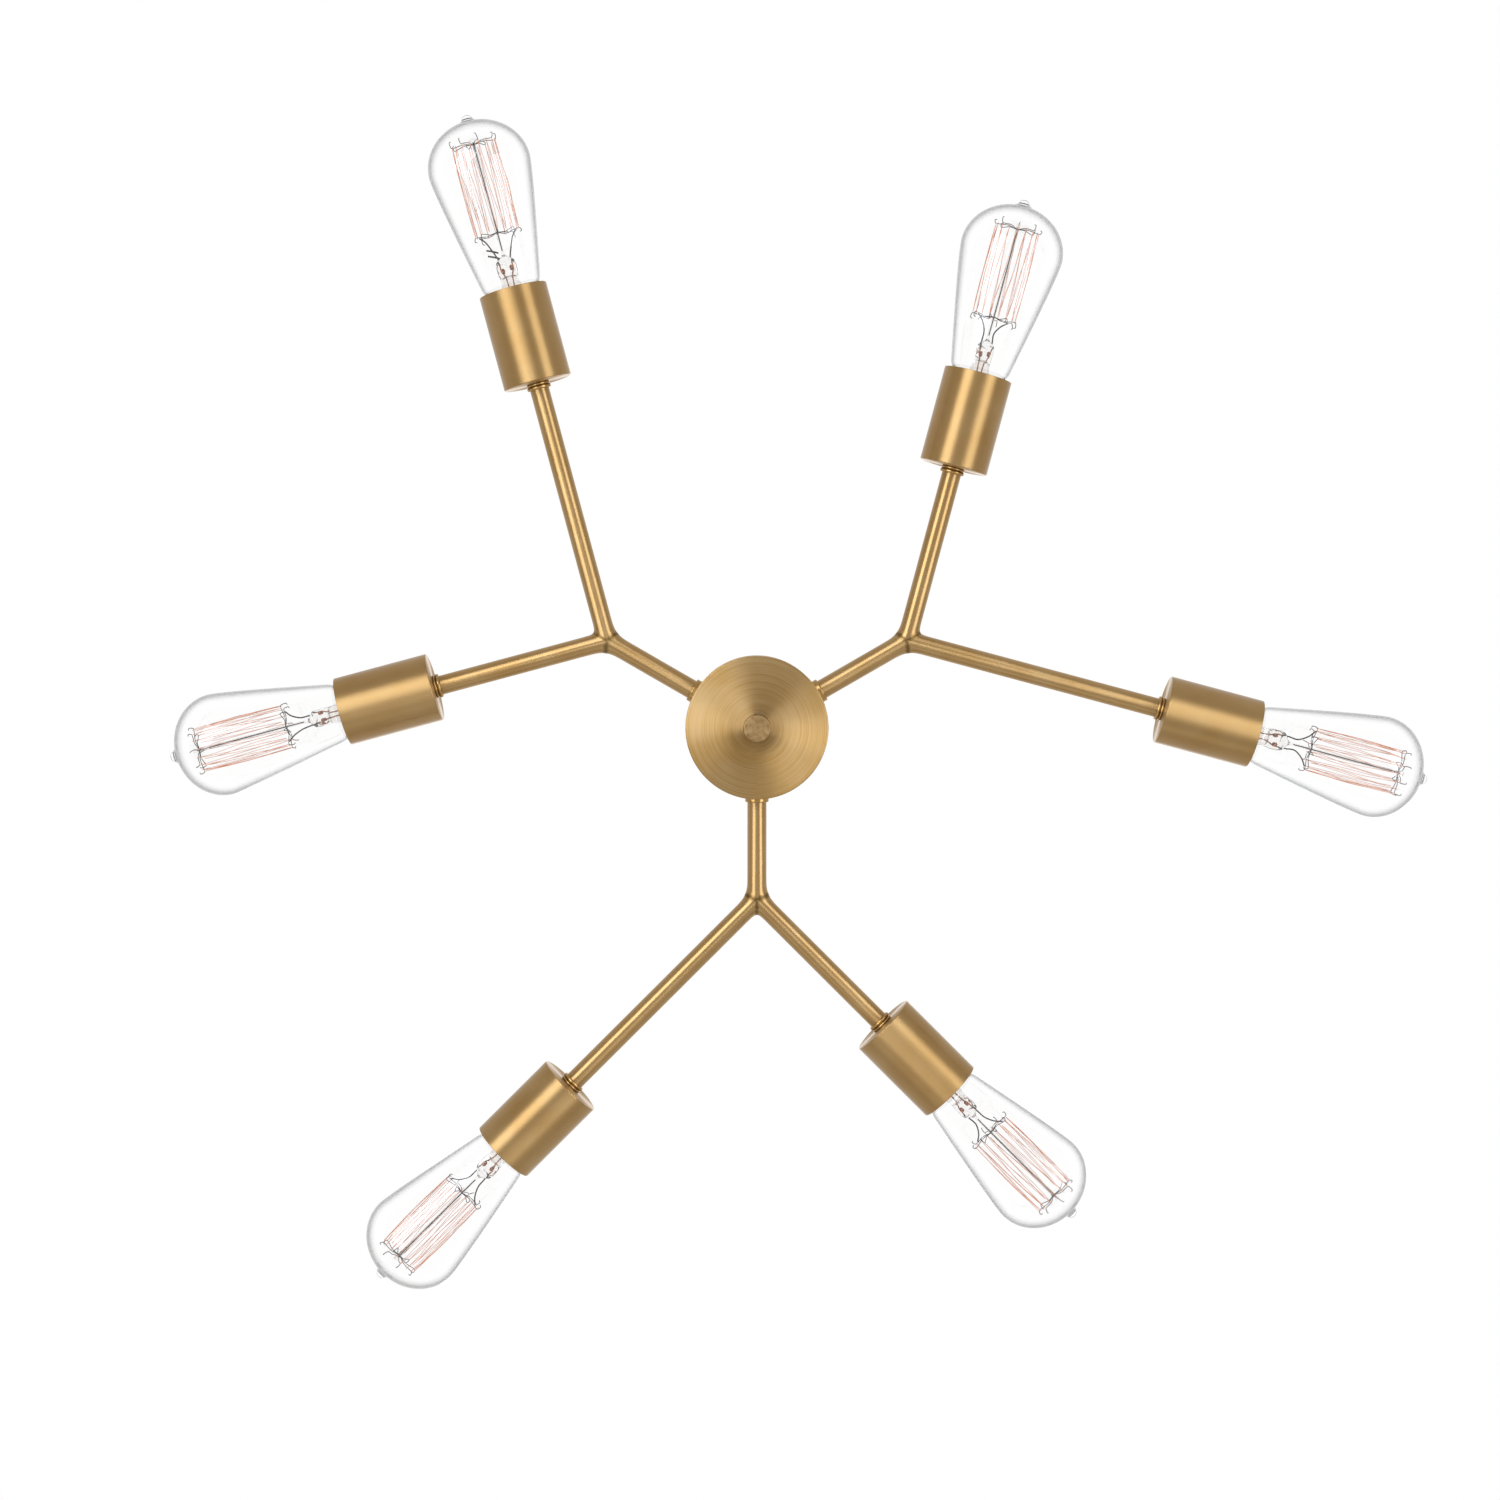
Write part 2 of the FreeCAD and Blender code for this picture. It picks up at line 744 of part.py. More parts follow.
def crown(level, turn):
    """A flat crown of hooks: a ring on the centre rod with one spoke for each hook."""
    wire = dim.cage_wire.number
    rod = dim.mount_rod_diameter.number / 2
    ring_radius = rod + dim.cage_ring_wall.number
    reach = dim.cage_diameter.number / 2
    hooks = int(SIZES["cage_hooks"])
    half_angle = math.asin(wire / 2 / ring_radius)
    rim = []
    for number in range(hooks):
        middle = turn + number * 2 * math.pi / hooks
        outward = FreeCAD.Vector(math.cos(middle), math.sin(middle), 0)
        sideways = FreeCAD.Vector(-outward.y, outward.x, 0) * (wire / 2)
        root = outward * (ring_radius * math.cos(half_angle))
        tip = outward * (reach + wire / 2)
        rim += [root - sideways, tip - sideways, tip + sideways, root + sideways]
    star = Part.Face(Part.makePolygon(rim + rim[:1]))
    plate = star.extrude(FreeCAD.Vector(0, 0, wire))
    plate.translate(FreeCAD.Vector(0, 0, level))
    return plate.cut(Part.makeCylinder(rod, wire, FreeCAD.Vector(0, 0, level)))


def strand(start, end, thickness):
    """A straight wire between two level plates, square in plan and leaning as it must."""
    half = thickness / 2
    corners = [start + FreeCAD.Vector(p * half, q * half, 0)
               for p, q in ((-1, -1), (1, -1), (1, 1), (-1, 1), (-1, -1))]
    return Part.Face(Part.makePolygon(corners)).extrude(end - start)


def filament_shape():
    """The squirrel-cage filament: one wire led up and down between two crowns of hooks.

    The wire runs from a lower hook up to the upper hook half a step further round, and down
    again to the next lower hook, so it closes on itself after a full turn.
    """
    wire = dim.cage_wire.number
    reach = dim.cage_diameter.number / 2
    low = cage_foot.number
    high = low + dim.cage_height.number
    hooks = int(SIZES["cage_hooks"])
    half_step = math.pi / hooks
    hook_points = []
    for number in range(2 * hooks):
        level = high if number % 2 else low + wire
        hook_points.append(FreeCAD.Vector(reach * math.cos(number * half_step),
                                          reach * math.sin(number * half_step), level))
    pieces = [crown(low, 0.0), crown(high, half_step)]
    for index, point in enumerate(hook_points):
        following = hook_points[(index + 1) % len(hook_points)]
        pieces.append(strand(point, following, wire))
    return pieces[0].multiFuse(pieces[1:])


def shaped(label, shape):
    piece = doc.addObject("Part::Feature", label)
    piece.Label = label
    piece.Shape = shape
    return piece


# ---------------------------------------------------------------- the whole fixture

nodes = [make_bracket(), make_hub_cup(), make_cap_nut(), make_terminal_block()]
nodes += make_stud()

groups = {}
for arm, letter in ARMS:
    nodes += make_arm(arm, letter)
    nipple, nut = make_hub_joint(arm, letter)
    groups.setdefault("hub_collars", []).append(make_hub_collar(arm, letter))
    groups.setdefault("arm_nipples", []).append(nipple)
    groups.setdefault("arm_lock_nuts", []).append(nut)

filament = filament_shape()
for arm, letter, branch in SOCKETS:
    name = f"{letter}_{branch}"
    collar = on_socket(make_cup_collar(name), arm, branch, -cup_collar_length)
    groups.setdefault("cup_collars", []).append(collar)
    for label, (piece, distance) in make_socket_fittings(name).items():
        groups.setdefault(label, []).append(on_socket(piece, arm, branch, distance))
    for piece in (make_socket_cup(name), make_lampholder(name)):
        nodes.append(on_socket(piece, arm, branch))
    for piece in (make_lamp_cap(name), make_mount(name), make_glass(name),
                  shaped(f"filament_{name}", filament.copy())):
        nodes.append(on_socket(piece, arm, branch, lamp_foot))
nodes += [group(label, pieces) for label, pieces in groups.items()]

doc.recompute()
for item in doc.Objects:
    if {"Invalid", "Error"} & set(item.State):
        raise RuntimeError(f"{item.Label} failed: {item.State}")
for node in nodes:
    if node.Shape.isNull() or not node.Shape.isValid():
        raise RuntimeError(f"{node.Label} has no valid shape")

os.makedirs("parts", exist_ok=True)
for node in nodes:
    node.Shape.exportStep(f"parts/{node.Label}.step")
print(len(nodes), "nodes,", sum(len(node.Shape.Solids) for node in nodes), "solids")
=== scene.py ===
import math

import bmesh
import bpy
import numpy as np
from mathutils import Matrix, Vector


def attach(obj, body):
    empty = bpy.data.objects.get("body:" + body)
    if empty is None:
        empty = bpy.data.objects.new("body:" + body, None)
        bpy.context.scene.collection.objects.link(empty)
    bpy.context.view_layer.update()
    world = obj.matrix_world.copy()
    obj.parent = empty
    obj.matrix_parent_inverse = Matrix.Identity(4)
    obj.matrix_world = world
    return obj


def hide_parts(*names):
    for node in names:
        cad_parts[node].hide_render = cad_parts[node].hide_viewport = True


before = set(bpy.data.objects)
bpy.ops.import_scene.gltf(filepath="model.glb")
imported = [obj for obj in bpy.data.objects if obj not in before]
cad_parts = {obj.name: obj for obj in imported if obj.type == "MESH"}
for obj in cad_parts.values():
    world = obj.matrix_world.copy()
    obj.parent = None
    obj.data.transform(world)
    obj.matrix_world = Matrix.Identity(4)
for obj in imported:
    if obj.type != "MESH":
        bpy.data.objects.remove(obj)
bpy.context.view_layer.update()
print("frame loaded:", len(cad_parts), "nodes")

mm = 0.001  # every size below is in millimetres, and the scene is in metres
poleSize = 1e-7    # a ring narrower than this, in metres, is one point
noSeam = 99.0      # millimetres to a brazed joint, on pieces that have none

# where things are, as the frame has them
layout = {
    "firstArm": 90.0,        # degrees seen from above; the other arms follow every 120
    "armDrop": 46.0,         # arm axes below the ceiling
    "stemReach": 107.0,      # hub axis to fork
    "branchAngle": 45.0,     # each branch turns this far from its stem
    "longBranch": 164.5,     # fork to the closed end of a cup
    "shortBranch": 110.8,
    "lampFoot": 27.0,        # closed end of a cup to the tip of the lamp's contact
}
armLetters = "abc"
armAzimuths = [layout["firstArm"] + 120.0 * k for k in range(3)]
branchSides = {"long": 1.0, "short": -1.0}


def patch(grid, closedAlong=False, seam=None):
    # Rows run along the piece and columns round it. Face (i, j) joins p(i, j), p(i, j+1),
    # p(i+1, j+1) and p(i+1, j). A row that shrinks to a point is one vertex, so poles close.
    # UV in millimetres: u = share of the turn x widest girth, v = length along the profile.
    rows, cols = grid.shape[:2]
    number = np.arange(rows * cols).reshape(rows, cols)
    poles = np.ptp(grid, axis=1).max(axis=1) < poleSize
    number[poles] = number[poles][:, :1]
    i, j = np.meshgrid(np.arange(rows if closedAlong else rows - 1), np.arange(cols),
                       indexing="ij")
    i, j = i.ravel(), j.ravel()
    corners = [(i, j), (i, j + 1), (i + 1, j + 1), (i + 1, j)]
    faces = np.stack([number[a % rows, b % cols] for a, b in corners], axis=1)
    ring = np.concatenate([grid, grid[:, :1]], axis=1)
    girth = np.linalg.norm(np.diff(ring, axis=1), axis=2).sum(axis=1).max() / mm
    step = np.linalg.norm(np.diff(grid, axis=0), axis=2).max(axis=1)
    along = np.concatenate([[0.0], np.cumsum(step)]) / mm
    along = np.append(along, along[-1] + np.linalg.norm(grid[-1] - grid[0], axis=1).max() / mm)
    uv = np.stack([np.stack([b / cols * girth, along[a]], axis=1)
                   for a, b in corners], axis=1)
    startPole = faces[:, 0] == faces[:, 1]
    endPole = faces[:, 2] == faces[:, 3]
    quad = ~(startPole | endPole)
    return {
        "points": grid.reshape(-1, 3),
        "quads": faces[quad], "quadUv": uv[quad],
        "tris": np.concatenate([faces[startPole][:, 1:], faces[endPole][:, :3]]),
        "triUv": np.concatenate([uv[startPole][:, 1:], uv[endPole][:, :3]]),
        "seam": np.full(rows * cols, noSeam) if seam is None else seam.ravel(),
    }


def makePiece(name, patches, body, material, replaced=(), sharp=50.0, weld=0.0):
    # Joins patches into one mesh: indices shift by the points before them, and points that
    # no face uses, such as a pole's spares, are left out.
    shift = np.cumsum([0] + [len(part["points"]) for part in patches])
    points = np.concatenate([part["points"] for part in patches])
    seam = np.concatenate([part["seam"] for part in patches])
    quads = np.concatenate([part["quads"] + start for part, start in zip(patches, shift)])
    tris = np.concatenate([part["tris"] + start for part, start in zip(patches, shift)])
    used, order = np.unique(np.concatenate([quads.ravel(), tris.ravel()]), return_inverse=True)
    quads = order[:quads.size].reshape(-1, 4)
    tris = order[quads.size:].reshape(-1, 3)
    uv = np.concatenate([part["quadUv"].reshape(-1, 2) for part in patches]
                        + [part["triUv"].reshape(-1, 2) for part in patches])
    mesh = bpy.data.meshes.new(name)
    mesh.from_pydata(points[used].tolist(), [], quads.tolist() + tris.tolist())
    mesh.uv_layers.new(name="millimetres").data.foreach_set("uv", uv.ravel())
    mesh.attributes.new("seam", "FLOAT", "POINT").data.foreach_set("value", seam[used])
    if weld:
        work = bmesh.new()
        work.from_mesh(mesh)
        bmesh.ops.remove_doubles(work, verts=work.verts, dist=weld)
        work.to_mesh(mesh)
        work.free()
    mesh.shade_smooth()
    mesh.set_sharp_from_angle(angle=math.radians(sharp))
    mesh.materials.append(material)
    mesh.update()
    piece = bpy.data.objects.new(name, mesh)
    bpy.context.scene.collection.objects.link(piece)
    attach(piece, body)
    if replaced:
        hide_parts(*replaced)


def roundedLine(corners, radii, closed=True, steps=6, hold=0.25):
    # Each corner becomes the arc that touches both its edges: the arc starts radius x
    # tan(turn / 2) before the corner and turns about a centre square to the edge. A point
    # just before and after it keeps the flats flat under smooth shading.
    corner = np.array(corners, float)
    radius = np.zeros(len(corner)) + radii
    before = corner - np.roll(corner, 1, axis=0)
    after = np.roll(corner, -1, axis=0) - corner
    if not closed:
        before[0], after[-1] = after[0], before[-1]
        radius[[0, -1]] = 0.0
    shorter = np.minimum(np.linalg.norm(before, axis=1), np.linalg.norm(after, axis=1))
    before /= np.linalg.norm(before, axis=1, keepdims=True)
    after /= np.linalg.norm(after, axis=1, keepdims=True)
    turn = np.arctan2(before[:, 0] * after[:, 1] - before[:, 1] * after[:, 0],
                      (before * after).sum(axis=1))
    reach = radius * np.abs(np.tan(turn / 2))
    start = corner - before * reach[:, None]
    end = corner + after * reach[:, None]
    square = np.stack([-before[:, 1], before[:, 0]], axis=1) * np.sign(turn)[:, None]
    centre = start + square * radius[:, None]
    angle = turn[:, None] * np.linspace(0, 1, steps)
    arm = (start - centre)[:, None, :]
    arc = centre[:, None, :] + np.stack([
        arm[..., 0] * np.cos(angle) - arm[..., 1] * np.sin(angle),
        arm[..., 0] * np.sin(angle) + arm[..., 1] * np.cos(angle)], axis=2)
    room = np.minimum(hold, (shorter - reach) * 0.3).clip(0.0)[:, None]
    line = np.concatenate([(start - before * room)[:, None], arc,
                           (end + after * room)[:, None]], axis=1)
    if not closed:
        line[0], line[-1] = corner[0], corner[-1]
    line = line.reshape(-1, 2)
    gap = np.linalg.norm(line - np.roll(line, 1, axis=0), axis=1)
    keep = gap > 1e-5
    if not closed:
        keep[0] = True
    return line[keep]


def lathe(profile, columns=96, wave=None):
    # The profile (radius, height) turned about Z: p = (r cos a, r sin a, z). The seam is
    # on +Y, the ceiling side of a piece that lies along an arm.
    angle = math.pi / 2 + np.arange(columns) * 2 * math.pi / columns
    radius = profile[:, :1] + (0.0 if wave is None else wave(profile[:, 1:], angle))
    height = np.broadcast_to(profile[:, 1:], radius.shape if wave else (len(profile), columns))
    return np.stack([radius * np.cos(angle), radius * np.sin(angle), height], axis=2) * mm


def towards(degrees):
    # a level direction of length 1, seen from above: (cos, sin, 0)
    angle = math.radians(degrees)
    return np.array([math.cos(angle), math.sin(angle), 0.0])


def layAlong(points, origin, degrees):
    # Local z runs level along the angle and local y points up:
    # p = origin + x (up x forward) + y up + z forward.
    forward = towards(degrees)
    up = np.array([0.0, 0.0, 1.0])
    side = np.cross(up, forward)
    return (np.asarray(origin) + points[..., :1] * side + points[..., 1:2] * up
            + points[..., 2:] * forward)


def spinAbout(points, turn):
    # turn about the lamp's own axis: x' = x cos - y sin, y' = x sin + y cos
    x, y = points[..., 0], points[..., 1]
    return np.stack([x * math.cos(turn) - y * math.sin(turn),
                     x * math.sin(turn) + y * math.cos(turn), points[..., 2]], axis=-1)


def lampPatches(grids, turn, origin, heading):
    return [patch(layAlong(spinAbout(grid, turn), origin, heading)) for grid in grids]


def wireGrid(path, radius, sides=6):
    # A round wire: at each path point a circle square to the path, c + r (cos a n + sin a b),
    # with n leaning away from the lamp's axis. Both ends close in a point.
    path = np.concatenate([path[:1], path, path[-1:]])
    along = np.gradient(path[1:-1], axis=0)
    along = np.concatenate([along[:1], along, along[-1:]])
    along /= np.linalg.norm(along, axis=1, keepdims=True)
    lean = path * [1.0, 1.0, 0.0] + [0.013, 0.029, 0.007]
    normal = lean - along * (lean * along).sum(axis=1, keepdims=True)
    normal /= np.linalg.norm(normal, axis=1, keepdims=True)
    across = np.cross(along, normal)
    thick = np.full(len(path), radius)
    thick[[0, -1]] = 0.0
    angle = np.arange(sides) * 2 * math.pi / sides
    return (path[:, None] + thick[:, None, None]
            * (normal[:, None] * np.cos(angle)[None, :, None]
               + across[:, None] * np.sin(angle)[None, :, None])) * mm


def smoothPath(points, count):
    # A smooth curve through a few given points, count samples in all. From b to c:
    # p = (2 b + (c - a) t + (2 a - 5 b + 4 c - d) t^2 + (3 b - a - 3 c + d) t^3) / 2.
    points = np.array(points, float)
    ends = np.concatenate([[2 * points[0] - points[1]], points, [2 * points[-1] - points[-2]]])
    where = np.linspace(0, len(points) - 1.000001, count)
    part = where.astype(int)
    t = (where - part)[:, None]
    a, b, c, d = (ends[part + k] for k in range(4))
    return 0.5 * (2 * b + (c - a) * t + (2 * a - 5 * b + 4 * c - d) * t ** 2
                  + (3 * b - a - 3 * c + d) * t ** 3)


def toLinear(hexColour):
    value = np.array([int(hexColour[k:k + 2], 16) for k in (1, 3, 5)]) / 255
    linear = np.where(value <= 0.04045, value / 12.92, ((value + 0.055) / 1.055) ** 2.4)
    return (*linear.tolist(), 1.0)


def plug(tree, node, inputs):
    # a value is set on its socket, and another node's output is linked to it
    for key, value in inputs.items():
        if isinstance(value, bpy.types.NodeSocket):
            tree.links.new(value, node.inputs[key])
        else:
            node.inputs[key].default_value = value


def addNode(tree, kind, inputs=None, **settings):
    node = tree.nodes.new(kind)
    for key, value in settings.items():
        setattr(node, key, value)
    plug(tree, node, inputs or {})
    return node


def speckle(tree, grain, detail, roughness=0.5):
    # noise through the piece, with spots of about grain millimetres
    place = addNode(tree, "ShaderNodeTexCoord")
    return addNode(tree, "ShaderNodeTexNoise", {
        "Vector": place.outputs["Object"], "Scale": 1 / (grain * mm), "Detail": detail,
        "Roughness": roughness}).outputs["Fac"]


def blend(tree, share, first, second):
    # first where share is 0, second where it is 1: hex colours or other nodes' outputs
    first, second = (toLinear(c) if isinstance(c, str) else c for c in (first, second))
    return addNode(tree, "ShaderNodeMix", {0: share, 6: first, 7: second},
                   data_type="RGBA").outputs[2]


def newMaterial(name):
    material = bpy.data.materials.new(name)
    material.use_nodes = True
    tree = material.node_tree
    return material, tree, tree.nodes["Principled BSDF"]


# Satin brass, turned or drawn and then lacquered. The fine lines from the tool run round
# the piece and spread its highlights across them, so bands stay narrow round a cup and long
# down its side, and a turned disc shows a bow tie. lineSpacing is in millimetres along v.
# Real lines are about 0.05 mm apart, too fine to show, so they are drawn coarser and faint.
brassFinishes = {
    "turnedCupBrass": {"light": "#A18459", "dark": "#9A794B", "roughness": 0.43,
                       "lineSpacing": 0.7, "lineLength": 60.0, "depth": 0.0004,
                       "spread": 0.92, "drift": 24.0, "uneven": 0.008, "marks": 0.03},
    "drawnTubeBrass": {"light": "#A3865C", "dark": "#9B7B4E", "roughness": 0.36,
                       "lineSpacing": 1.4, "lineLength": 20.0, "depth": 0.0002,
                       "spread": 0.92, "drift": 20.0, "uneven": 0.006, "marks": 0.03,
                       "solder": "#5B4420"},
    "spunHubBrass": {"light": "#A88C62", "dark": "#9A7947", "roughness": 0.42,
                     "lineSpacing": 0.9, "lineLength": 90.0, "depth": 0.006,
                     "spread": 0.96, "drift": 30.0, "uneven": 0.05, "marks": 1.3},
    "turnedNutBrass": {"light": "#947B57", "dark": "#745935", "roughness": 0.46,
                       "lineSpacing": 1.3, "lineLength": 1.6, "depth": 0.006,
                       "spread": 0.3, "drift": 3.0, "uneven": 0.05, "marks": 0.35},
    "turnedBeadBrass": {"light": "#A28354", "dark": "#997746", "roughness": 0.28,
                        "lineSpacing": 0.6, "lineLength": 25.0, "depth": 0.0003,
                        "spread": 0.6, "drift": 8.0, "uneven": 0.01, "marks": 0.35},
    "stampedBrass": {"light": "#997A4A", "dark": "#836030", "roughness": 0.30,
                     "lineSpacing": 0.9, "lineLength": 9.0, "depth": 0.02,
                     "spread": 0.0, "drift": 12.0, "uneven": 0.05, "marks": 0.35},
}

# the brazed end of a fork's tube, with distances in millimetres from the joint
brazing = {"blotch": 2.2, "ragged": 3.2, "full": -1.3, "gone": 0.6, "share": 0.75,
           "dulling": 0.15}


def makeBrass(name):
    finish = brassFinishes[name]
    material, tree, shader = newMaterial(name)
    place = addNode(tree, "ShaderNodeTexCoord")
    onSurface = finish["spread"] > 0.0
    source = place.outputs["UV"] if onSurface else place.outputs["Object"]
    unit = 1.0 if onSurface else 1 / mm
    long = unit / finish["lineLength"]
    spot = addNode(tree, "ShaderNodeMapping", {
        "Vector": source, "Scale": (long, unit / finish["lineSpacing"], long)})
    lines = addNode(tree, "ShaderNodeTexNoise", {
        "Vector": spot.outputs[0], "Scale": 1.0, "Detail": 3.0,
        "Roughness": 0.6}).outputs["Fac"]
    mixed = addNode(tree, "ShaderNodeMath", {
        0: lines, 1: finish["marks"], 2: speckle(tree, finish["drift"], 2.0)},
        operation="MULTIPLY_ADD")
    shift = 0.5 * finish["marks"]   # what the lines add to the noise on average
    share = addNode(tree, "ShaderNodeMapRange", {
        "Value": mixed.outputs[0], "From Min": 0.27 + shift, "From Max": 0.77 + shift})
    tint = blend(tree, share.outputs[0], finish["light"], finish["dark"])
    gloss = addNode(tree, "ShaderNodeMapRange", {
        "Value": lines, "From Min": 0.25, "From Max": 0.75,
        "To Min": finish["roughness"] - finish["uneven"],
        "To Max": finish["roughness"] + finish["uneven"]}).outputs[0]
    if "solder" in finish:
        # brazed fork: the joint's last few millimetres are duller, olive and blotchy
        joint = addNode(tree, "ShaderNodeAttribute", attribute_name="seam")
        ragged = addNode(tree, "ShaderNodeMath", {
            0: speckle(tree, brazing["blotch"], 3.0), 1: -brazing["ragged"],
            2: joint.outputs["Fac"]}, operation="MULTIPLY_ADD")
        near = addNode(tree, "ShaderNodeMapRange", {
            "Value": ragged.outputs[0], "From Min": brazing["full"],
            "From Max": brazing["gone"], "To Min": brazing["share"],
            "To Max": 0.0}).outputs[0]
        tint = blend(tree, near, tint, finish["solder"])
        gloss = addNode(tree, "ShaderNodeMath", {0: near, 1: brazing["dulling"], 2: gloss},
                        operation="MULTIPLY_ADD").outputs[0]
    bump = addNode(tree, "ShaderNodeBump", {
        "Height": lines, "Strength": 0.5, "Distance": finish["depth"] * mm})
    plug(tree, shader, {"Base Color": tint, "Roughness": gloss,
                        "Normal": bump.outputs[0], "Metallic": 1.0})
    if onSurface:
        grain = addNode(tree, "ShaderNodeTangent", direction_type="UV_MAP",
                        uv_map="millimetres")
        plug(tree, shader, {"Tangent": grain.outputs[0], "Anisotropic": finish["spread"],
                            "Anisotropic Rotation": 0.25})   # across the lines
    return material


# Lamp glass, blown soda-lime: clear and smooth, with very faint waves from the mould. Its
# colour darkens to edge where the wall turns away from the view: a painted dark outline,
# painted shade for the dark rim such glass shows. The mount's drawn glass has more and finer
# waves.
glassKinds = {
    "blownLampGlass": {"tint": "#FFFFFF", "edge": "#1E1A18", "paintedShadeFrom": 0.45,
                       "paintedShadeTo": 0.95, "wave": 30.0, "depth": 0.01},
    "drawnMountGlass": {"tint": "#FAF8F6", "edge": "#211A17", "paintedShadeFrom": 0.45,
                        "paintedShadeTo": 0.97, "wave": 3.0, "depth": 0.10},
}
glassIor = 1.48


def makeGlass(name):
    kind = glassKinds[name]
    material, tree, shader = newMaterial(name)
    bump = addNode(tree, "ShaderNodeBump", {
        "Height": speckle(tree, kind["wave"], 1.0), "Strength": 0.4,
        "Distance": kind["depth"] * mm})
    # painted shade: the colour darkens to edge where the wall turns away from the view, a dark
    # outline painted into the glass; the longer path through the wall there accounts for only a
    # little of it
    viewFacing = addNode(tree, "ShaderNodeLayerWeight", {"Blend": 0.5})
    paintedEdgeShade = addNode(tree, "ShaderNodeMapRange", {
        "Value": viewFacing.outputs["Facing"], "From Min": kind["paintedShadeFrom"],
        "From Max": kind["paintedShadeTo"]}, interpolation_type="SMOOTHSTEP")
    plug(tree, shader, {
        "Base Color": blend(tree, paintedEdgeShade.outputs[0], kind["tint"], kind["edge"]),
        "Normal": bump.outputs[0], "Transmission Weight": 1.0, "Roughness": 0.0,
        "IOR": glassIor})
    return material


# Plain workaday materials. Each has a grain: the size of its mottling in millimetres.
# mouldedPhenolic: near black with a soft sheen. mouldedPolyamide: off-white plastic.
# zincSteel: bright zinc plate with its faint bluish crystals. supportWire: drawn molybdenum,
# dark grey. carbonFilament: squirted thread, coppery, with a faint painted glow. dumetCopper:
# copper-clad seal wire, orange and blotchy where the glass was pressed on it. blackGlass:
# the cap's insulating cone. greySolder: the contact's tip.
plainMaterials = {
    "mouldedPhenolic": {"light": "#2B2522", "dark": "#191514", "metallic": 0.0,
                        "roughness": 0.42, "grain": 1.5, "depth": 0.03},
    "mouldedPolyamide": {"light": "#E9E6DC", "dark": "#D8D3C6", "metallic": 0.0,
                         "roughness": 0.5, "grain": 2.0, "depth": 0.03},
    "zincSteel": {"light": "#C3C7CA", "dark": "#9DA3A8", "metallic": 1.0,
                  "roughness": 0.36, "grain": 1.2, "depth": 0.02},
    "supportWire": {"light": "#3A302C", "dark": "#1E1917", "metallic": 0.2,
                    "roughness": 0.45, "grain": 0.8, "depth": 0.01},
    "carbonFilament": {"light": "#E0966C", "dark": "#96492A", "metallic": 0.0,
                       "roughness": 0.5, "grain": 6.0, "depth": 0.01,
                       # a faint painted glow that makes the thread look brighter and more
                       # coppery
                       "paintedGlow": "#FFA474", "paintedGlowStrength": 0.22},
    "dumetCopper": {"light": "#D98A55", "dark": "#7A3F22", "metallic": 0.8,
                    "roughness": 0.35, "grain": 1.1, "depth": 0.25},
    "blackGlass": {"light": "#17181B", "dark": "#0D0E10", "metallic": 0.0,
                   "roughness": 0.18, "grain": 3.0, "depth": 0.02},
    "greySolder": {"light": "#B4B3AE", "dark": "#878680", "metallic": 0.9,
                   "roughness": 0.45, "grain": 1.0, "depth": 0.08},
}

unevenGloss = 0.06   # how far the roughness strays either way


def makePlain(name):
    kind = plainMaterials[name]
    material, tree, shader = newMaterial(name)
    mottle = speckle(tree, kind["grain"], 4.0, 0.6)
    share = addNode(tree, "ShaderNodeMapRange", {
        "Value": mottle, "From Min": 0.35, "From Max": 0.65})
    rough = addNode(tree, "ShaderNodeMapRange", {
        "Value": mottle, "From Min": 0.3, "From Max": 0.7,
        "To Min": kind["roughness"] - unevenGloss,
        "To Max": kind["roughness"] + unevenGloss})
    bump = addNode(tree, "ShaderNodeBump", {
        "Height": mottle, "Strength": 0.5, "Distance": kind["depth"] * mm})
    plug(tree, shader, {
        "Base Color": blend(tree, share.outputs[0], kind["light"], kind["dark"]),
        "Roughness": rough.outputs[0], "Normal": bump.outputs[0],
        "Metallic": kind["metallic"]})
    # painted glow: a faint orange emission that brightens the filament thread
    if "paintedGlow" in kind:
        plug(tree, shader, {"Emission Color": toLinear(kind["paintedGlow"]),
                            "Emission Strength": kind["paintedGlowStrength"]})
    return material


finishes = {name: makeBrass(name) for name in brassFinishes}
finishes.update({name: makeGlass(name) for name in glassKinds})
finishes.update({name: makePlain(name) for name in plainMaterials})
print("materials made:", len(finishes))


hub = {"radius": 44.0, "depth": 66.0, "wall": 1.2, "face": 1.6, "edge": 0.7, "bore": 3.3,
       "rim": 0.3, "floorFillet": 1.0}


def makeHub():
    # a spun cup, open at the ceiling: its closed outline turned about the hub's axis
    bottom, inside = -hub["depth"], hub["radius"] - hub["wall"]
    corners = [(hub["bore"], bottom), (hub["radius"], bottom), (hub["radius"], 0.0),
               (inside, 0.0), (inside, bottom + hub["face"]),
               (hub["bore"], bottom + hub["face"])]
    outline = roundedLine(corners, [0.0, hub["edge"], hub["rim"], hub["rim"],
                                     hub["floorFillet"], 0.0])
    makePiece("hubShell", [patch(lathe(outline, 160), closedAlong=True)], "fixture",
              finishes["spunHubBrass"], ["hub_cup"])


capNut = {"radius": 8.5, "top": -66.0, "height": 12.0, "edge": 0.9, "bore": 3.05,
          "endWall": 3.0, "topEdge": 0.3, "boreEdge": 0.2}


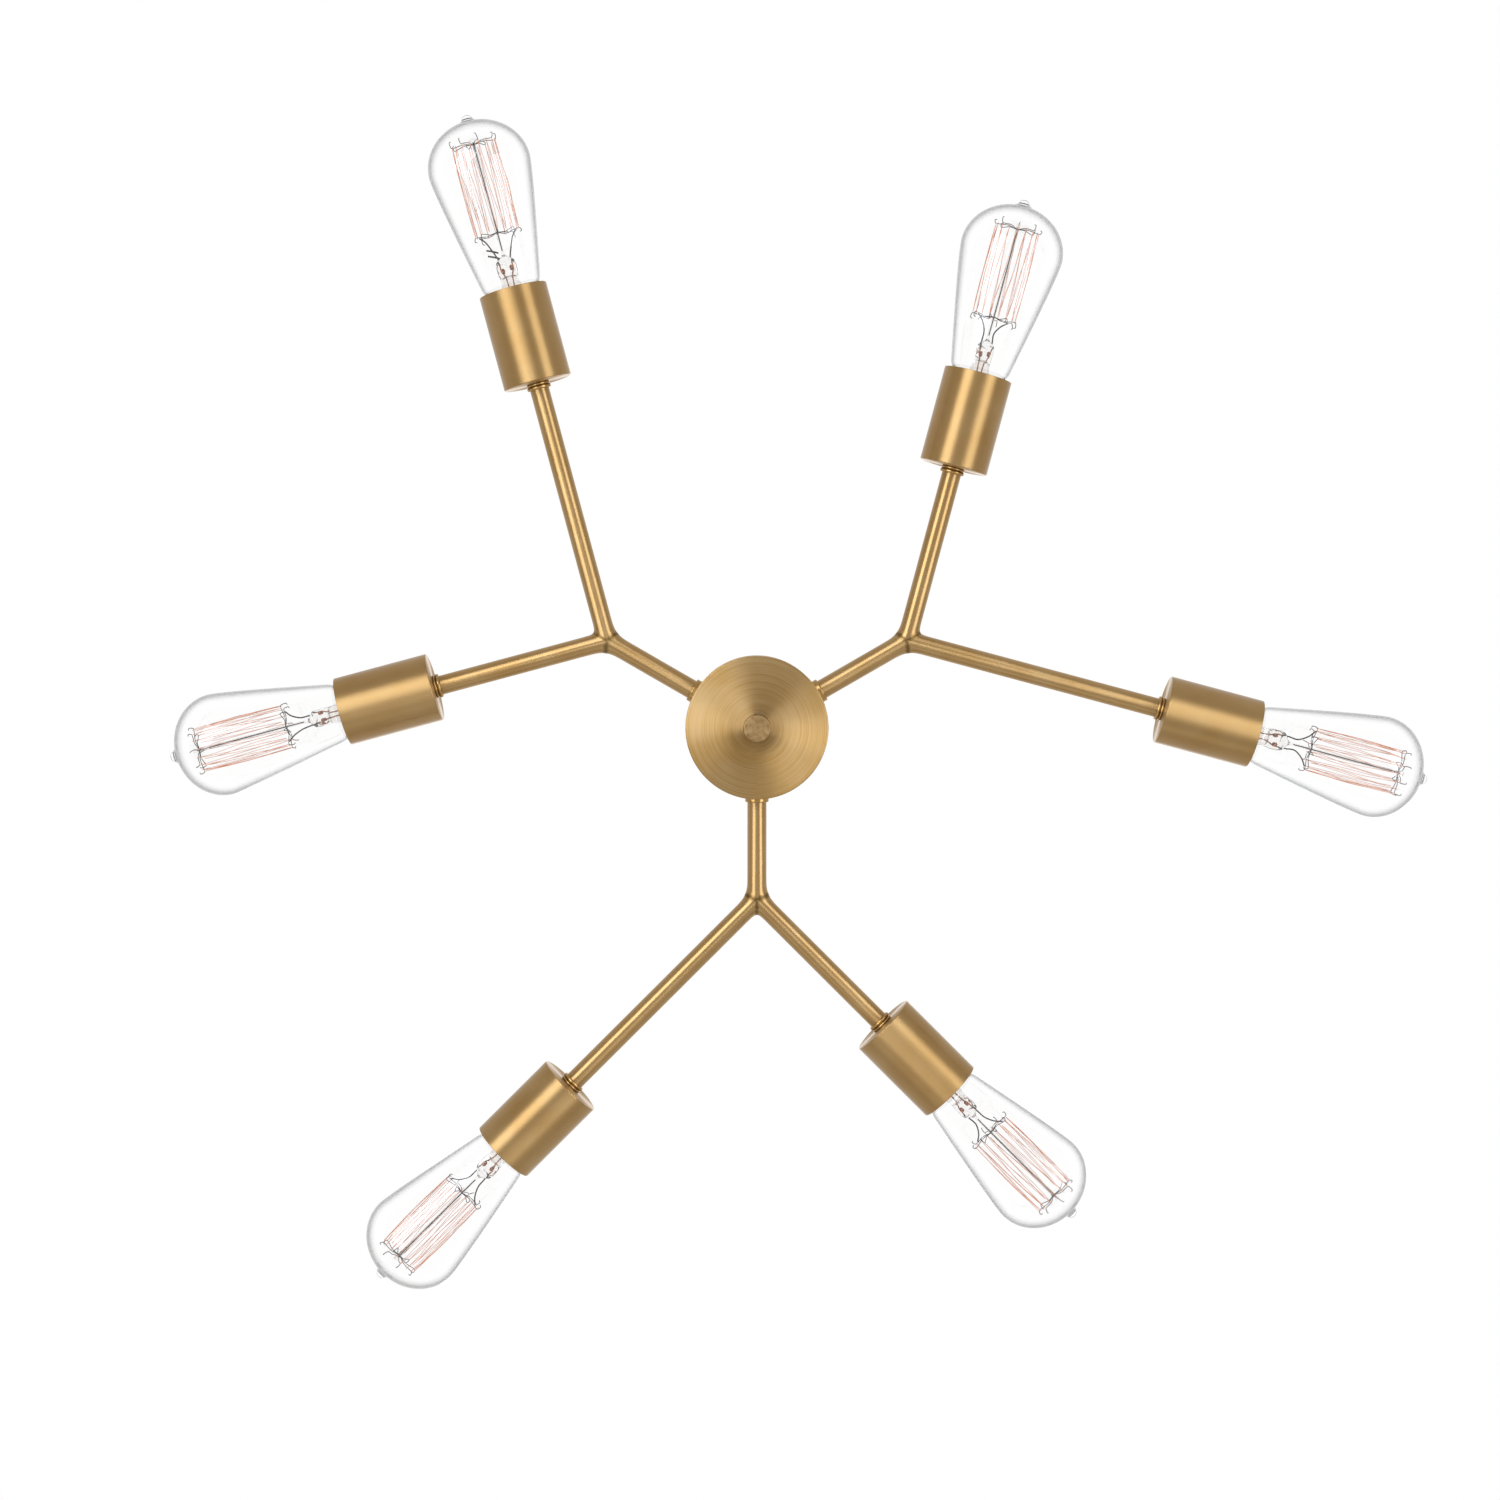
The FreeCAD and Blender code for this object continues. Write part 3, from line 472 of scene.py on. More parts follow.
def makeCapNut():
    # a turned knob with a blind thread: its outline from the middle of its face round to
    # the blind end, both on the axis
    end = capNut["top"] - capNut["height"]
    blind = end + capNut["endWall"]
    corners = [(0.0, end), (capNut["radius"], end), (capNut["radius"], capNut["top"]),
               (capNut["bore"], capNut["top"]), (capNut["bore"], blind), (0.0, blind)]
    outline = roundedLine(corners, [0.0, capNut["edge"], capNut["topEdge"], capNut["boreEdge"],
                                     capNut["boreEdge"], 0.0], closed=False)
    makePiece("capNutKnob", [patch(lathe(outline, 96))], "cap_nut",
              finishes["turnedNutBrass"], ["cap_nut"])


fork = {"radius": 6.0, "nipple": 5.0, "columns": 64, "rows": 60,
        "fillet": 1.45,      # how far the joint's corners are filled on the arm's level
        "leastFillet": 0.12,     # and at the top and bottom
        "nudge": 0.002, "steps": 8, "leastSlope": 0.05,
        "evenRows": 0.25, "crowding": 2.4,   # rows crowd towards the joint
        "stemStart": 46.6,   # hub axis to the tube's end at its collar
        "collar": 4.2}       # a branch stops this far short of its cup


def forkField(points, directions):
    # Smooth union of the three tubes: f = -k ln(sum of exp(-distance to each axis / k)) - R.
    # k, the fillet, is full on the arm's level and fades to the top and bottom.
    distance = []
    for forward in directions:
        along = (points @ forward).clip(0.0)
        distance.append(np.linalg.norm(points - along[..., None] * forward, axis=-1))
    distance = np.stack(distance)
    level = (points[..., 2] / fork["radius"]).clip(-1.0, 1.0)
    k = fork["leastFillet"] + (fork["fillet"] - fork["leastFillet"]) * (1.0 - level ** 2)
    nearest = distance.min(axis=0)
    return nearest - k * np.log(np.exp(-(distance - nearest) / k).sum(axis=0)) - fork["radius"]


def settle(points, directions):
    # Steps down the field's slope: p - f grad f / |grad f|^2, with central differences
    nudge = np.eye(3) * fork["nudge"]
    for _ in range(fork["steps"]):
        value = forkField(points, directions)
        slope = np.stack([
            (forkField(points + d, directions) - forkField(points - d, directions))
            / (2 * fork["nudge"]) for d in nudge], axis=-1)
        steep = (slope ** 2).sum(axis=-1).clip(fork["leastSlope"])
        points = points - (value / steep)[..., None] * slope
    return points


def makeFork(letter, azimuth):
    # Three tubes about the fork's centre. Each ring starts on its mitre curve,
    # t0 = R |cos a| / tan(half the angle to that neighbour), runs out to its end,
    # and the joint is then drawn onto the smooth union.
    turns = {"stem": 180.0, "long": layout["branchAngle"], "short": -layout["branchAngle"]}
    reach = {"stem": layout["stemReach"] - fork["stemStart"],
             "long": layout["longBranch"] - fork["collar"],
             "short": layout["shortBranch"] - fork["collar"]}
    forward = {key: towards(azimuth + turn) for key, turn in turns.items()}
    narrow = 2 * layout["branchAngle"]
    wide = 180.0 - layout["branchAngle"]
    neighbours = {"stem": (wide, wide), "long": (wide, narrow), "short": (narrow, wide)}
    angle = math.pi / 2 + np.arange(fork["columns"]) * 2 * math.pi / fork["columns"]
    share = np.linspace(0.0, 1.0, fork["rows"])[:, None]
    spacing = fork["evenRows"] * share + (1 - fork["evenRows"]) * share ** fork["crowding"]
    patches = []
    for key, (left, right) in neighbours.items():
        cosine = np.cos(angle)
        half = np.where(cosine > 0, left, right) / 2
        start = fork["radius"] * np.abs(cosine) / np.tan(np.radians(half))
        length = start + (reach[key] - start) * spacing
        seam = length - start
        side = np.cross([0.0, 0.0, 1.0], forward[key])
        ring = fork["radius"] * (cosine[:, None] * side
                                 + np.sin(angle)[:, None] * np.array([0.0, 0.0, 1.0]))
        grid = settle(length[..., None] * forward[key] + ring, list(forward.values()))
        tip = reach[key] * forward[key]
        cap = tip + ring * (fork["nipple"] / fork["radius"])
        grid = np.concatenate([grid, cap[None], np.broadcast_to(tip, cap[None].shape)])
        seam = np.concatenate([seam, seam[-1:], seam[-1:]])
        centre = layout["stemReach"] * towards(azimuth) - [0.0, 0.0, layout["armDrop"]]
        patches.append(patch((grid + centre) * mm, seam=seam))
    makePiece("armFork_" + letter, patches, "fixture",
              finishes["drawnTubeBrass"],
              [f"{key}_tube_{letter}" for key in ("stem", "long", "short")],
              weld=2e-6)


hubCollar = {"radius": 7.4, "bore": 5.0, "edge": 0.7, "sunk": 0.95}


def makeHubCollars():
    # plain rings between hub and stem: their inner ends sit just inside the hub's wall
    low, high = hub["radius"] - hubCollar["sunk"], fork["stemStart"]
    corners = [(hubCollar["bore"], low), (hubCollar["radius"], low),
               (hubCollar["radius"], high), (hubCollar["bore"], high)]
    outline = roundedLine(corners, [0.0, 0.0, hubCollar["edge"], 0.0])
    ring = lathe(outline, 72)
    rings = [patch(layAlong(ring, (0.0, 0.0, -layout["armDrop"] * mm), azimuth),
                   closedAlong=True) for azimuth in armAzimuths]
    makePiece("hubCollarRings", rings, "fixture",
              finishes["turnedBeadBrass"], ["hub_collars"])


# every socket: its name, the outside centre of its cup's closed end, and its direction
sockets = []
for letter, azimuth in zip(armLetters, armAzimuths):
    for branch, side in branchSides.items():
        heading = azimuth + side * layout["branchAngle"]
        origin = (layout["stemReach"] * towards(azimuth)
                  + layout[branch + "Branch"] * towards(heading)
                  - [0.0, 0.0, layout["armDrop"]]) * mm
        sockets.append((f"{letter}_{branch}", origin, heading))


cup = {"radius": 21.2, "length": 59.0, "wall": 1.5, "hole": 5.15, "edge": 0.8, "rim": 0.35,
       "floorFillet": 1.2}


def makeCup(name, origin, heading):
    # a turned cup: closed outline of base, side, rim, bore and floor, turned about its axis
    inside = cup["radius"] - cup["wall"]
    corners = [(cup["hole"], 0.0), (cup["radius"], 0.0), (cup["radius"], cup["length"]),
               (inside, cup["length"]), (inside, cup["wall"]), (cup["hole"], cup["wall"])]
    outline = roundedLine(corners, [0.0, cup["edge"], cup["rim"], cup["rim"],
                                     cup["floorFillet"], 0.0])
    grid = layAlong(lathe(outline, 128), origin, heading)
    makePiece("cupShell_" + name, [patch(grid, closedAlong=True)], "fixture",
              finishes["turnedCupBrass"], ["socket_cup_" + name])


bead = {"bore": 5.0, "neck": 6.65, "largeLength": 2.5, "largeRise": 0.85,
        "smallLength": 1.7, "smallRise": 0.5}


def makeCupCollars():
    # two round beads: r = neck + rise sin a, z = middle - half length cos a
    a = np.linspace(0.0, math.pi, 15)
    parts, z = [[(bead["bore"], 0.0)]], 0.0
    for size in ("large", "small"):
        length, rise = bead[size + "Length"], bead[size + "Rise"]
        parts.append(np.stack([bead["neck"] + rise * np.sin(a),
                               z + length / 2 * (1 - np.cos(a))], axis=1)[size == "small":])
        z += length
    outline = np.concatenate(parts + [[(bead["bore"], z)]])
    ring = lathe(outline, 72) - [0.0, 0.0, z * mm]
    rings = [patch(layAlong(ring, origin, heading), closedAlong=True)
             for name, origin, heading in sockets]
    makePiece("cupCollarBeads", rings, "fixture",
              finishes["turnedBeadBrass"], ["cup_collars"], sharp=60.0)


# lamp heights are measured from the tip of its contact
bulb = {
    "wall": 0.8, "neck": 12.5, "foot": 23.0, "shoulder": 14.0,
    "taperRadius": 18.78, "taperStart": 37.3, "taperAngle": 11.4,
    "widest": 31.9, "widestAt": 110.4, "domeHeight": 28.5,
    "pipBase": 9.5, "pip": 3.1, "pipStart": 140.8, "length": 142.9,
    "lip": 1.5, "pipSweep": (1.1, 2.1),
}


def bulbOutline(pip):
    # Neck, shoulder arc, a side (1 - t)^2 p + 2 t (1 - t) q + t^2 r that starts at the taper's
    # slope and ends upright at the widest ring, then a quarter ellipse: r = W cos a,
    # z = zc + H sin a. With the pip, the ellipse stops early, sweeps up in a hollow curve and
    # closes in a small round end.
    slope = math.radians(bulb["taperAngle"])
    side0 = np.array([bulb["taperRadius"], bulb["taperStart"]])
    centre = side0 + bulb["shoulder"] * np.array([-math.cos(slope), math.sin(slope)])
    low = -math.acos((bulb["neck"] - centre[0]) / bulb["shoulder"])
    a = np.linspace(low, -slope, 14)[:, None]
    shoulder = centre + bulb["shoulder"] * np.concatenate([np.cos(a), np.sin(a)], axis=1)
    side2 = np.array([bulb["widest"], bulb["widestAt"]])
    side1 = np.array([bulb["widest"], side0[1] + (bulb["widest"] - side0[0]) / math.tan(slope)])
    t = np.linspace(0.0, 1.0, 26)[1:, None]
    side = (1 - t) ** 2 * side0 + 2 * t * (1 - t) * side1 + t ** 2 * side2
    stop = math.acos(bulb["pipBase"] / bulb["widest"]) if pip else math.pi / 2
    a = np.linspace(0.0, stop, 26)[1:]
    dome = np.stack([bulb["widest"] * np.cos(a),
                     bulb["widestAt"] + bulb["domeHeight"] * np.sin(a)], axis=1)
    neck = np.array([[bulb["neck"], bulb["foot"]], [bulb["neck"], bulb["foot"] + bulb["lip"]]])
    outline = [neck, shoulder, side, dome]
    if pip:
        t = np.linspace(0.0, 1.0, 8)[1:, None]
        end = np.array([bulb["pip"], bulb["pipStart"]])
        bend = end + [bulb["pipSweep"][0], -bulb["pipSweep"][1]]
        outline.append((1 - t) ** 2 * dome[-1] + 2 * t * (1 - t) * bend + t ** 2 * end)
        a = np.linspace(0.0, math.pi / 2, 9)[1:]
        outline.append(np.stack([bulb["pip"] * np.cos(a), bulb["pipStart"]
                                 + (bulb["length"] - bulb["pipStart"]) * np.sin(a)], axis=1))
    outline = np.concatenate(outline)
    outline[-1, 0] = 0.0
    return outline


def makeBulb(name, origin, heading):
    # outer wall, and inside it the same line moved in by the wall along its normal
    outer = bulbOutline(True)
    plain = bulbOutline(False)
    along = np.gradient(plain, axis=0)
    along /= np.linalg.norm(along, axis=1, keepdims=True)
    inner = plain - bulb["wall"] * np.stack([along[:, 1], -along[:, 0]], axis=1)
    inner[0] = [bulb["neck"] - bulb["wall"], bulb["foot"]]
    inner[-1] = [0.0, bulb["widestAt"] + bulb["domeHeight"] - bulb["wall"]]
    grid = layAlong(lathe(np.concatenate([inner[::-1], outer]), 144), origin, heading)
    makePiece("bulbGlass_" + name, [patch(grid)], "lamp_" + name,
              finishes["blownLampGlass"], ["lamp_glass_" + name])


mount = {"flare": 11.5, "foot": 26.4, "wall": 0.9, "waist": 5.3, "waistAt": 40.0,
         "pressEnd": 50.0, "pressFlat": 0.5, "pressWide": 0.22, "pinchLength": 5.5,
         "flaring": 2.2, "seal": 1.5, "rod": 0.9, "rodEnd": 127.4}


def makeMount(name, origin, heading, turn):
    # The stem glass: a flared tube, r = waist + (flare - waist) (1 - t)^2.2, pinched flat at
    # the press (its y shrinks smoothly to pressFlat), and a rod up to the top crown.
    t = np.linspace(0.0, 1.0, 18)
    height = mount["foot"] + (mount["waistAt"] - mount["foot"]) * t
    flare = mount["waist"] + (mount["flare"] - mount["waist"]) * (1 - t) ** mount["flaring"]
    outside = np.stack([flare, height], axis=1)
    inside = outside[::-1] - [mount["wall"], 0.0]
    inside = np.concatenate([[(0.0, mount["waistAt"] + mount["seal"])], inside])
    t = np.linspace(0.0, 1.0, 12)[1:]
    press = np.stack([np.full(6, mount["waist"]),
                      np.linspace(mount["waistAt"] + mount["seal"], mount["pressEnd"], 6)],
                     axis=1)
    ease = 0.5 + 0.5 * np.cos(math.pi * t)
    cone = np.stack([mount["rod"] + (mount["waist"] - mount["rod"]) * ease,
                     mount["pressEnd"] + 5.0 * t], axis=1)
    rod = [(mount["rod"], mount["pressEnd"] + 9.0), (mount["rod"], mount["rodEnd"] - 1.0),
           (mount["rod"] * 1.5, mount["rodEnd"] - 0.3),
           (mount["rod"] * 1.3, mount["rodEnd"] + 0.5),
           (0.0, mount["rodEnd"] + 0.9)]
    outline = np.concatenate([inside, outside, press, cone, rod])
    grid = lathe(outline, 48)
    z = grid[..., 2] / mm
    pinch = np.exp(-((z - (mount["waistAt"] + mount["pressEnd"]) / 2) 
                     / mount["pinchLength"]) ** 4)
    grid[..., 1] *= 1 - (1 - mount["pressFlat"]) * pinch
    grid[..., 0] *= 1 + mount["pressWide"] * pinch
    grid = layAlong(spinAbout(grid, turn), origin, heading)
    makePiece("stemGlass_" + name, [patch(grid)], "lamp_" + name,
              finishes["drawnMountGlass"], ["lamp_mount_" + name], sharp=70.0)


leads = {"radius": 0.45, "spread": 3.6, "start": 41.0, "sealEnd": 48.5, "sealRadius": 0.42,
         "clampRadius": 0.55, "clampsPast": 0.7}

# the copper lumps: half widths, distance off the axis, height and how far they are staggered
copperLump = {"wide": 1.1, "thick": 0.8, "tall": 1.9, "off": 2.5, "at": 45.2, "stagger": 0.7,
              "roundWave": 0.2, "tallWave": 0.16}


def makeLeads(name, origin, heading, turn, bent):
    # two stiff leads from the press to the bottom crown; where bent, one swings wide and
    # carries two short clamped ends
    wires, seals = [], []
    for side in (-1.0, 1.0):
        swing = bent * side
        path = smoothPath([(side * leads["spread"], 0.0, leads["sealEnd"]),
                           (side * (leads["spread"] + 0.4), 0.2, 53.0),
                           (side * leads["spread"] + 2.6 * swing, 0.8, 59.0),
                           (side * (leads["spread"] + 3.5) + 1.5 * swing, 0.5, 64.5),
                           (side * cage["reach"] * 0.86, 0.0, cage["low"] - 0.4)], 26)
        wires.append(wireGrid(path, leads["radius"], 8))
        seal = smoothPath([(side * 1.6, 0.0, leads["start"] - 9.0),
                           (side * 2.2, 0.2, leads["start"]),
                           (side * leads["spread"], 0.0, 45.0),
                           (side * leads["spread"], 0.0, leads["sealEnd"] + 0.6)], 24)
        seals.append(wireGrid(seal, leads["sealRadius"], 8))
        if bent > leads["clampsPast"]:
            low = 54.0 + 3.6 * (side > 0)
            clamp = smoothPath([(-2.6, 0.3, low - 1.2), (-6.0, 0.6, low + 0.6),
                                (-9.4, 0.4, low + 2.0)], 12)
            wires.append(wireGrid(clamp, leads["clampRadius"], 8))
    # where both seals are pinched the copper has run: a small uneven lump at each,
    # an ellipsoid whose radius carries two waves
    b = np.linspace(-math.pi / 2, math.pi / 2, 13)[:, None]
    a = np.arange(20)[None, :] * 2 * math.pi / 20
    for side in (-1.0, 1.0):
        lump = (1 + copperLump["roundWave"] * np.sin(3 * a + side) * np.cos(b)
                + copperLump["tallWave"] * np.sin(5 * b + 2 * a))
        height = (copperLump["at"] + side * copperLump["stagger"]
                  + copperLump["tall"] * np.sin(b))
        ball = np.stack([side * copperLump["off"]
                         + copperLump["wide"] * lump * np.cos(b) * np.cos(a),
                         copperLump["thick"] * lump * np.cos(b) * np.sin(a),
                         np.broadcast_to(height, lump.shape)], axis=2) * mm
        ball[0], ball[-1] = ball[0, 0], ball[-1, 0]
        seals.append(ball)
    for start, grids, finish in (("leadWires_", wires, "supportWire"),
                                 ("sealCopper_", seals, "dumetCopper")):
        makePiece(start + name, lampPatches(grids, turn, origin, heading), "lamp_" + name,
                  finishes[finish], sharp=80.0)


cage = {"low": 68.2, "high": 125.0, "reach": 13.6, "hooks": 16, "thread": 0.15,
        "hookWire": 0.25, "coreWire": 0.26, "wobble": 0.35, "bow": 0.5, "sway": 0.35,
        "twist": 0.05, "lift": (1.4, 3.4), "lean": (-0.9, 0.9), "past": (0.4, 1.5)}


def makeCage(name, origin, heading, turn, seed):
    # One thread goes up and down between two crowns of hooks, half a step round each time.
    # A strand: straight from hook to hook, bowed out a little, r + bow sin(pi t), and with
    # two slow waves of its own. A hook: out from the rod, past the thread and bent away
    # from the cage, each one a little differently.
    chance = np.random.default_rng(seed)
    count = 2 * cage["hooks"]
    angle = np.arange(count + 1) * math.pi / cage["hooks"]
    upper = np.arange(count + 1) % 2 == 1
    t = np.linspace(0.0, 1.0, 30)
    strands, hooks = [], []
    for k in range(count):
        waves = chance.normal(0.0, cage["wobble"], 4)
        a = angle[k] + (angle[k + 1] - angle[k]) * t
        reach = (cage["reach"] + (cage["bow"] + cage["bow"] * waves[0]) * np.sin(math.pi * t)
                 + cage["sway"] * waves[1] * np.sin(3 * math.pi * t))
        a = a + (waves[2] * np.sin(2 * math.pi * t)
                 + waves[3] * np.sin(3 * math.pi * t)) * cage["twist"]
        z0, z1 = (cage["high"], cage["low"]) if upper[k] else (cage["low"], cage["high"])
        path = np.stack([reach * np.cos(a), reach * np.sin(a), z0 + (z1 - z0) * t], axis=1)
        strands.append(wireGrid(path, cage["thread"], 6))
        if k % 4 > 1:
            continue   # the crowns have half as many hooks as the thread has bends
        z = cage["high"] if upper[k] else cage["low"]
        sign = 1.0 if upper[k] else -1.0
        lift, lean = chance.uniform(*cage["lift"]), chance.uniform(*cage["lean"])
        out = cage["reach"] + chance.uniform(*cage["past"])
        flat = smoothPath([(0.7, 0.0, z - 0.6 * sign), (out * 0.45, 0.1, z + 0.5 * sign),
                           (out - 1.3, 0.0, z - 0.3 * sign), (out, lean * 0.3, z + 0.7 * sign),
                           (out + 0.2, lean, z + lift * sign),
                           (out - 0.9, lean * 1.6, z + (lift + 0.5) * sign)], 22)
        hooks.append(wireGrid(spinAbout(flat, angle[k]), cage["hookWire"], 6))
    # a dark wire down the middle of the glass rod ties the crowns together
    core = smoothPath([(0.0, 0.0, 57.0), (0.1, 0.05, 90.0), (0.0, 0.0, cage["high"] + 1.0)], 12)
    hooks.append(wireGrid(core, cage["coreWire"], 6))
    makePiece("filamentThread_" + name, lampPatches(strands, turn, origin, heading),
              "lamp_" + name, finishes["carbonFilament"],
              ["filament_" + name], 80.0)
    makePiece("filamentHooks_" + name, lampPatches(hooks, turn, origin, heading),
              "lamp_" + name, finishes["supportWire"], sharp=80.0)


screwCap = {"radius": 13.2, "root": 12.45, "pitch": 3.6, "low": 6.2, "high": 27.0,
            "thick": 0.4, "tip": 4.5, "tipHeight": 1.6, "fade": 2.5, "rows": 80}


def makeScrewCap(name, origin, heading):
    # Rolled thread: r = root + depth (1 + cos 2 pi (z / pitch - turn)) / 2, fading out at
    # both ends of the shell, and the same line again inside it.
    depth = screwCap["radius"] - screwCap["root"]

    def rolled(z, angle):
        fade = (((z - screwCap["low"] - 0.4) / screwCap["fade"]).clip(0, 1)
                * ((screwCap["high"] - 1.5 - z) / screwCap["fade"]).clip(0, 1))
        turn = angle / (2 * math.pi)
        return depth * fade * 0.5 * (1 + np.cos(2 * math.pi * (z / screwCap["pitch"] - turn)))

    z = np.linspace(screwCap["low"], screwCap["high"], screwCap["rows"])
    outside = np.stack([np.full(len(z), screwCap["root"]), z], axis=1)
    inside = (outside - [screwCap["thick"], 0.0])[::-1]
    shell = lathe(np.concatenate([outside, inside]), 72, rolled)
    tip, rise, low = screwCap["tip"], screwCap["tipHeight"], screwCap["low"]
    cone = roundedLine([(0.0, rise), (tip + 0.6, rise), (screwCap["root"] - 0.2, low - 0.2),
                        (screwCap["root"] - 0.6, low + 0.6), (0.0, low + 0.6)],
                       [0.0, 0.4, 0.8, 0.2, 0.0], closed=False)
    a = np.linspace(0.0, math.pi / 2, 9)
    dome = np.stack([tip * np.sin(a), rise * (1 - np.cos(a))], axis=1)
    dome = np.concatenate([dome, [(tip, rise + 0.2), (0.0, rise + 0.2)]])
    lamp, node = "lamp_" + name, ["lamp_cap_" + name]
    makePiece("capThread_" + name, [patch(layAlong(shell, origin, heading), closedAlong=True)],
              lamp, finishes["stampedBrass"], node, 80.0)
    makePiece("capInsulator_" + name, [patch(layAlong(lathe(cone, 64), origin, heading))],
              lamp, finishes["blackGlass"], node)
    makePiece("capContact_" + name, [patch(layAlong(lathe(dome, 40), origin, heading))],
              lamp, finishes["greySolder"], node)


# each lamp sits turned its own way, and its leads are more or less bent
lampTurns = {
    "a_long": (0.35, 0.3, 11), "a_short": (0.50, 0.2, 12), "b_long": (0.10, 1.0, 13),
    "b_short": (0.65, 0.4, 14), "c_long": (0.25, 0.0, 15), "c_short": (0.55, 0.1, 16),
}

makeHub()
makeCapNut()
for letter, azimuth in zip(armLetters, armAzimuths):
    makeFork(letter, azimuth)
makeHubCollars()
makeCupCollars()
print("hub and arms made")

for name, origin, heading in sockets:
    makeCup(name, origin, heading)
    turn, bent, seed = lampTurns[name]
    foot = origin + towards(heading) * layout["lampFoot"] * mm
    makeBulb(name, foot, heading)
    makeMount(name, foot, heading, turn)
    makeLeads(name, foot, heading, turn, bent)
    makeCage(name, foot, heading, turn, seed)
    makeScrewCap(name, foot, heading)
print("sockets and lamps made:", len(sockets))

# hidden fittings keep their CAD shapes and get the material each is really made of
fittings = {
    "ceiling_bracket": "zincSteel", "centre_stud": "zincSteel", "stud_nut": "zincSteel",
    "arm_nipples": "zincSteel", "arm_lock_nuts": "zincSteel", "cup_nipples": "zincSteel",
    "cup_lock_nuts": "zincSteel", "terminal_block": "mouldedPolyamide",
    "screw_shells": "stampedBrass", "centre_contacts": "stampedBrass",
}
fittings.update({"lampholder_" + name: "mouldedPhenolic" for name, *_ in sockets})
for node, finish in fittings.items():
    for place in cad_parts[node].material_slots:
        place.material = finishes[finish]
print("fittings dressed:", len(fittings))


studio = {"floorDrop": 2.6, "floorSize": 90.0, "floorColour": "#E9E7E3",
          "floorFleck": "#F2F1EE", "floorGrain": 3.0, "floorRoughness": 0.9,
          "floorLift": 0.44,   # what shows of the floor is raised to near white
          "fill": 0.55,        # the world's light on matt surfaces, where 1 is white
          "panelColour": "#F0F7FF"}   # daylight, a little cool


def backgroundRays(tree):
    # 1 for the rays that show the background: the camera's, and those off metal and through
    # glass. 0 for the rays that light matt surfaces.
    path = addNode(tree, "ShaderNodeLightPath").outputs
    straight = addNode(tree, "ShaderNodeMath", {
        0: path["Is Camera Ray"], 1: path["Is Transmission Ray"]}, operation="MAXIMUM")
    return addNode(tree, "ShaderNodeMath", {
        0: straight.outputs[0], 1: path["Is Glossy Ray"]}, operation="MAXIMUM").outputs[0]


def makeFloor():
    # a level square sheet of pale painted board, z = -floorDrop
    half = studio["floorSize"] / 2
    mesh = bpy.data.meshes.new("paleFloor")
    mesh.from_pydata([(x * half, y * half, -studio["floorDrop"])
                      for x, y in ((-1, -1), (1, -1), (1, 1), (-1, 1))], [], [(0, 1, 2, 3)])
    floor = bpy.data.objects.new("paleFloor", mesh)
    bpy.context.scene.collection.objects.link(floor)
    # painted board, rolled: matt, with a faint grain
    material, tree, shader = newMaterial("rolledFloorPaint")
    # for the camera, metal and glass only, so the shadow stays and nothing matt is lit by it
    lift = addNode(tree, "ShaderNodeMath", {0: backgroundRays(tree), 1: studio["floorLift"]},
                   operation="MULTIPLY").outputs[0]
    plug(tree, shader, {
        "Base Color": blend(tree, speckle(tree, studio["floorGrain"], 2.0),
                            studio["floorColour"], studio["floorFleck"]),
        "Roughness": studio["floorRoughness"], "Emission Strength": lift,
        "Emission Color": (1.0, 1.0, 1.0, 1.0)})
    mesh.materials.append(material)


def makeWorld():
    # Plain white all round for the camera, and in metal and glass. Matt surfaces get an
    # even fill.
    world = bpy.data.worlds.new("softStudio")
    bpy.context.scene.world = world
    world.use_nodes = True
    tree = world.node_tree
    tree.nodes.clear()
    fill, white = (addNode(tree, "ShaderNodeBackground", {
        "Color": (1.0, 1.0, 1.0, 1.0), "Strength": strength}).outputs[0]
        for strength in (studio["fill"], 1.0))
    whole = addNode(tree, "ShaderNodeMixShader", {
        0: backgroundRays(tree), 1: fill, 2: white}).outputs[0]
    addNode(tree, "ShaderNodeOutputWorld", {"Surface": whole})


def standing(place, right, up, forward):
    # a lamp or camera at place: its own x and y are right and up, and it looks along -z
    return Matrix.Translation(place) @ Matrix((right, up, -forward)).transposed().to_4x4()


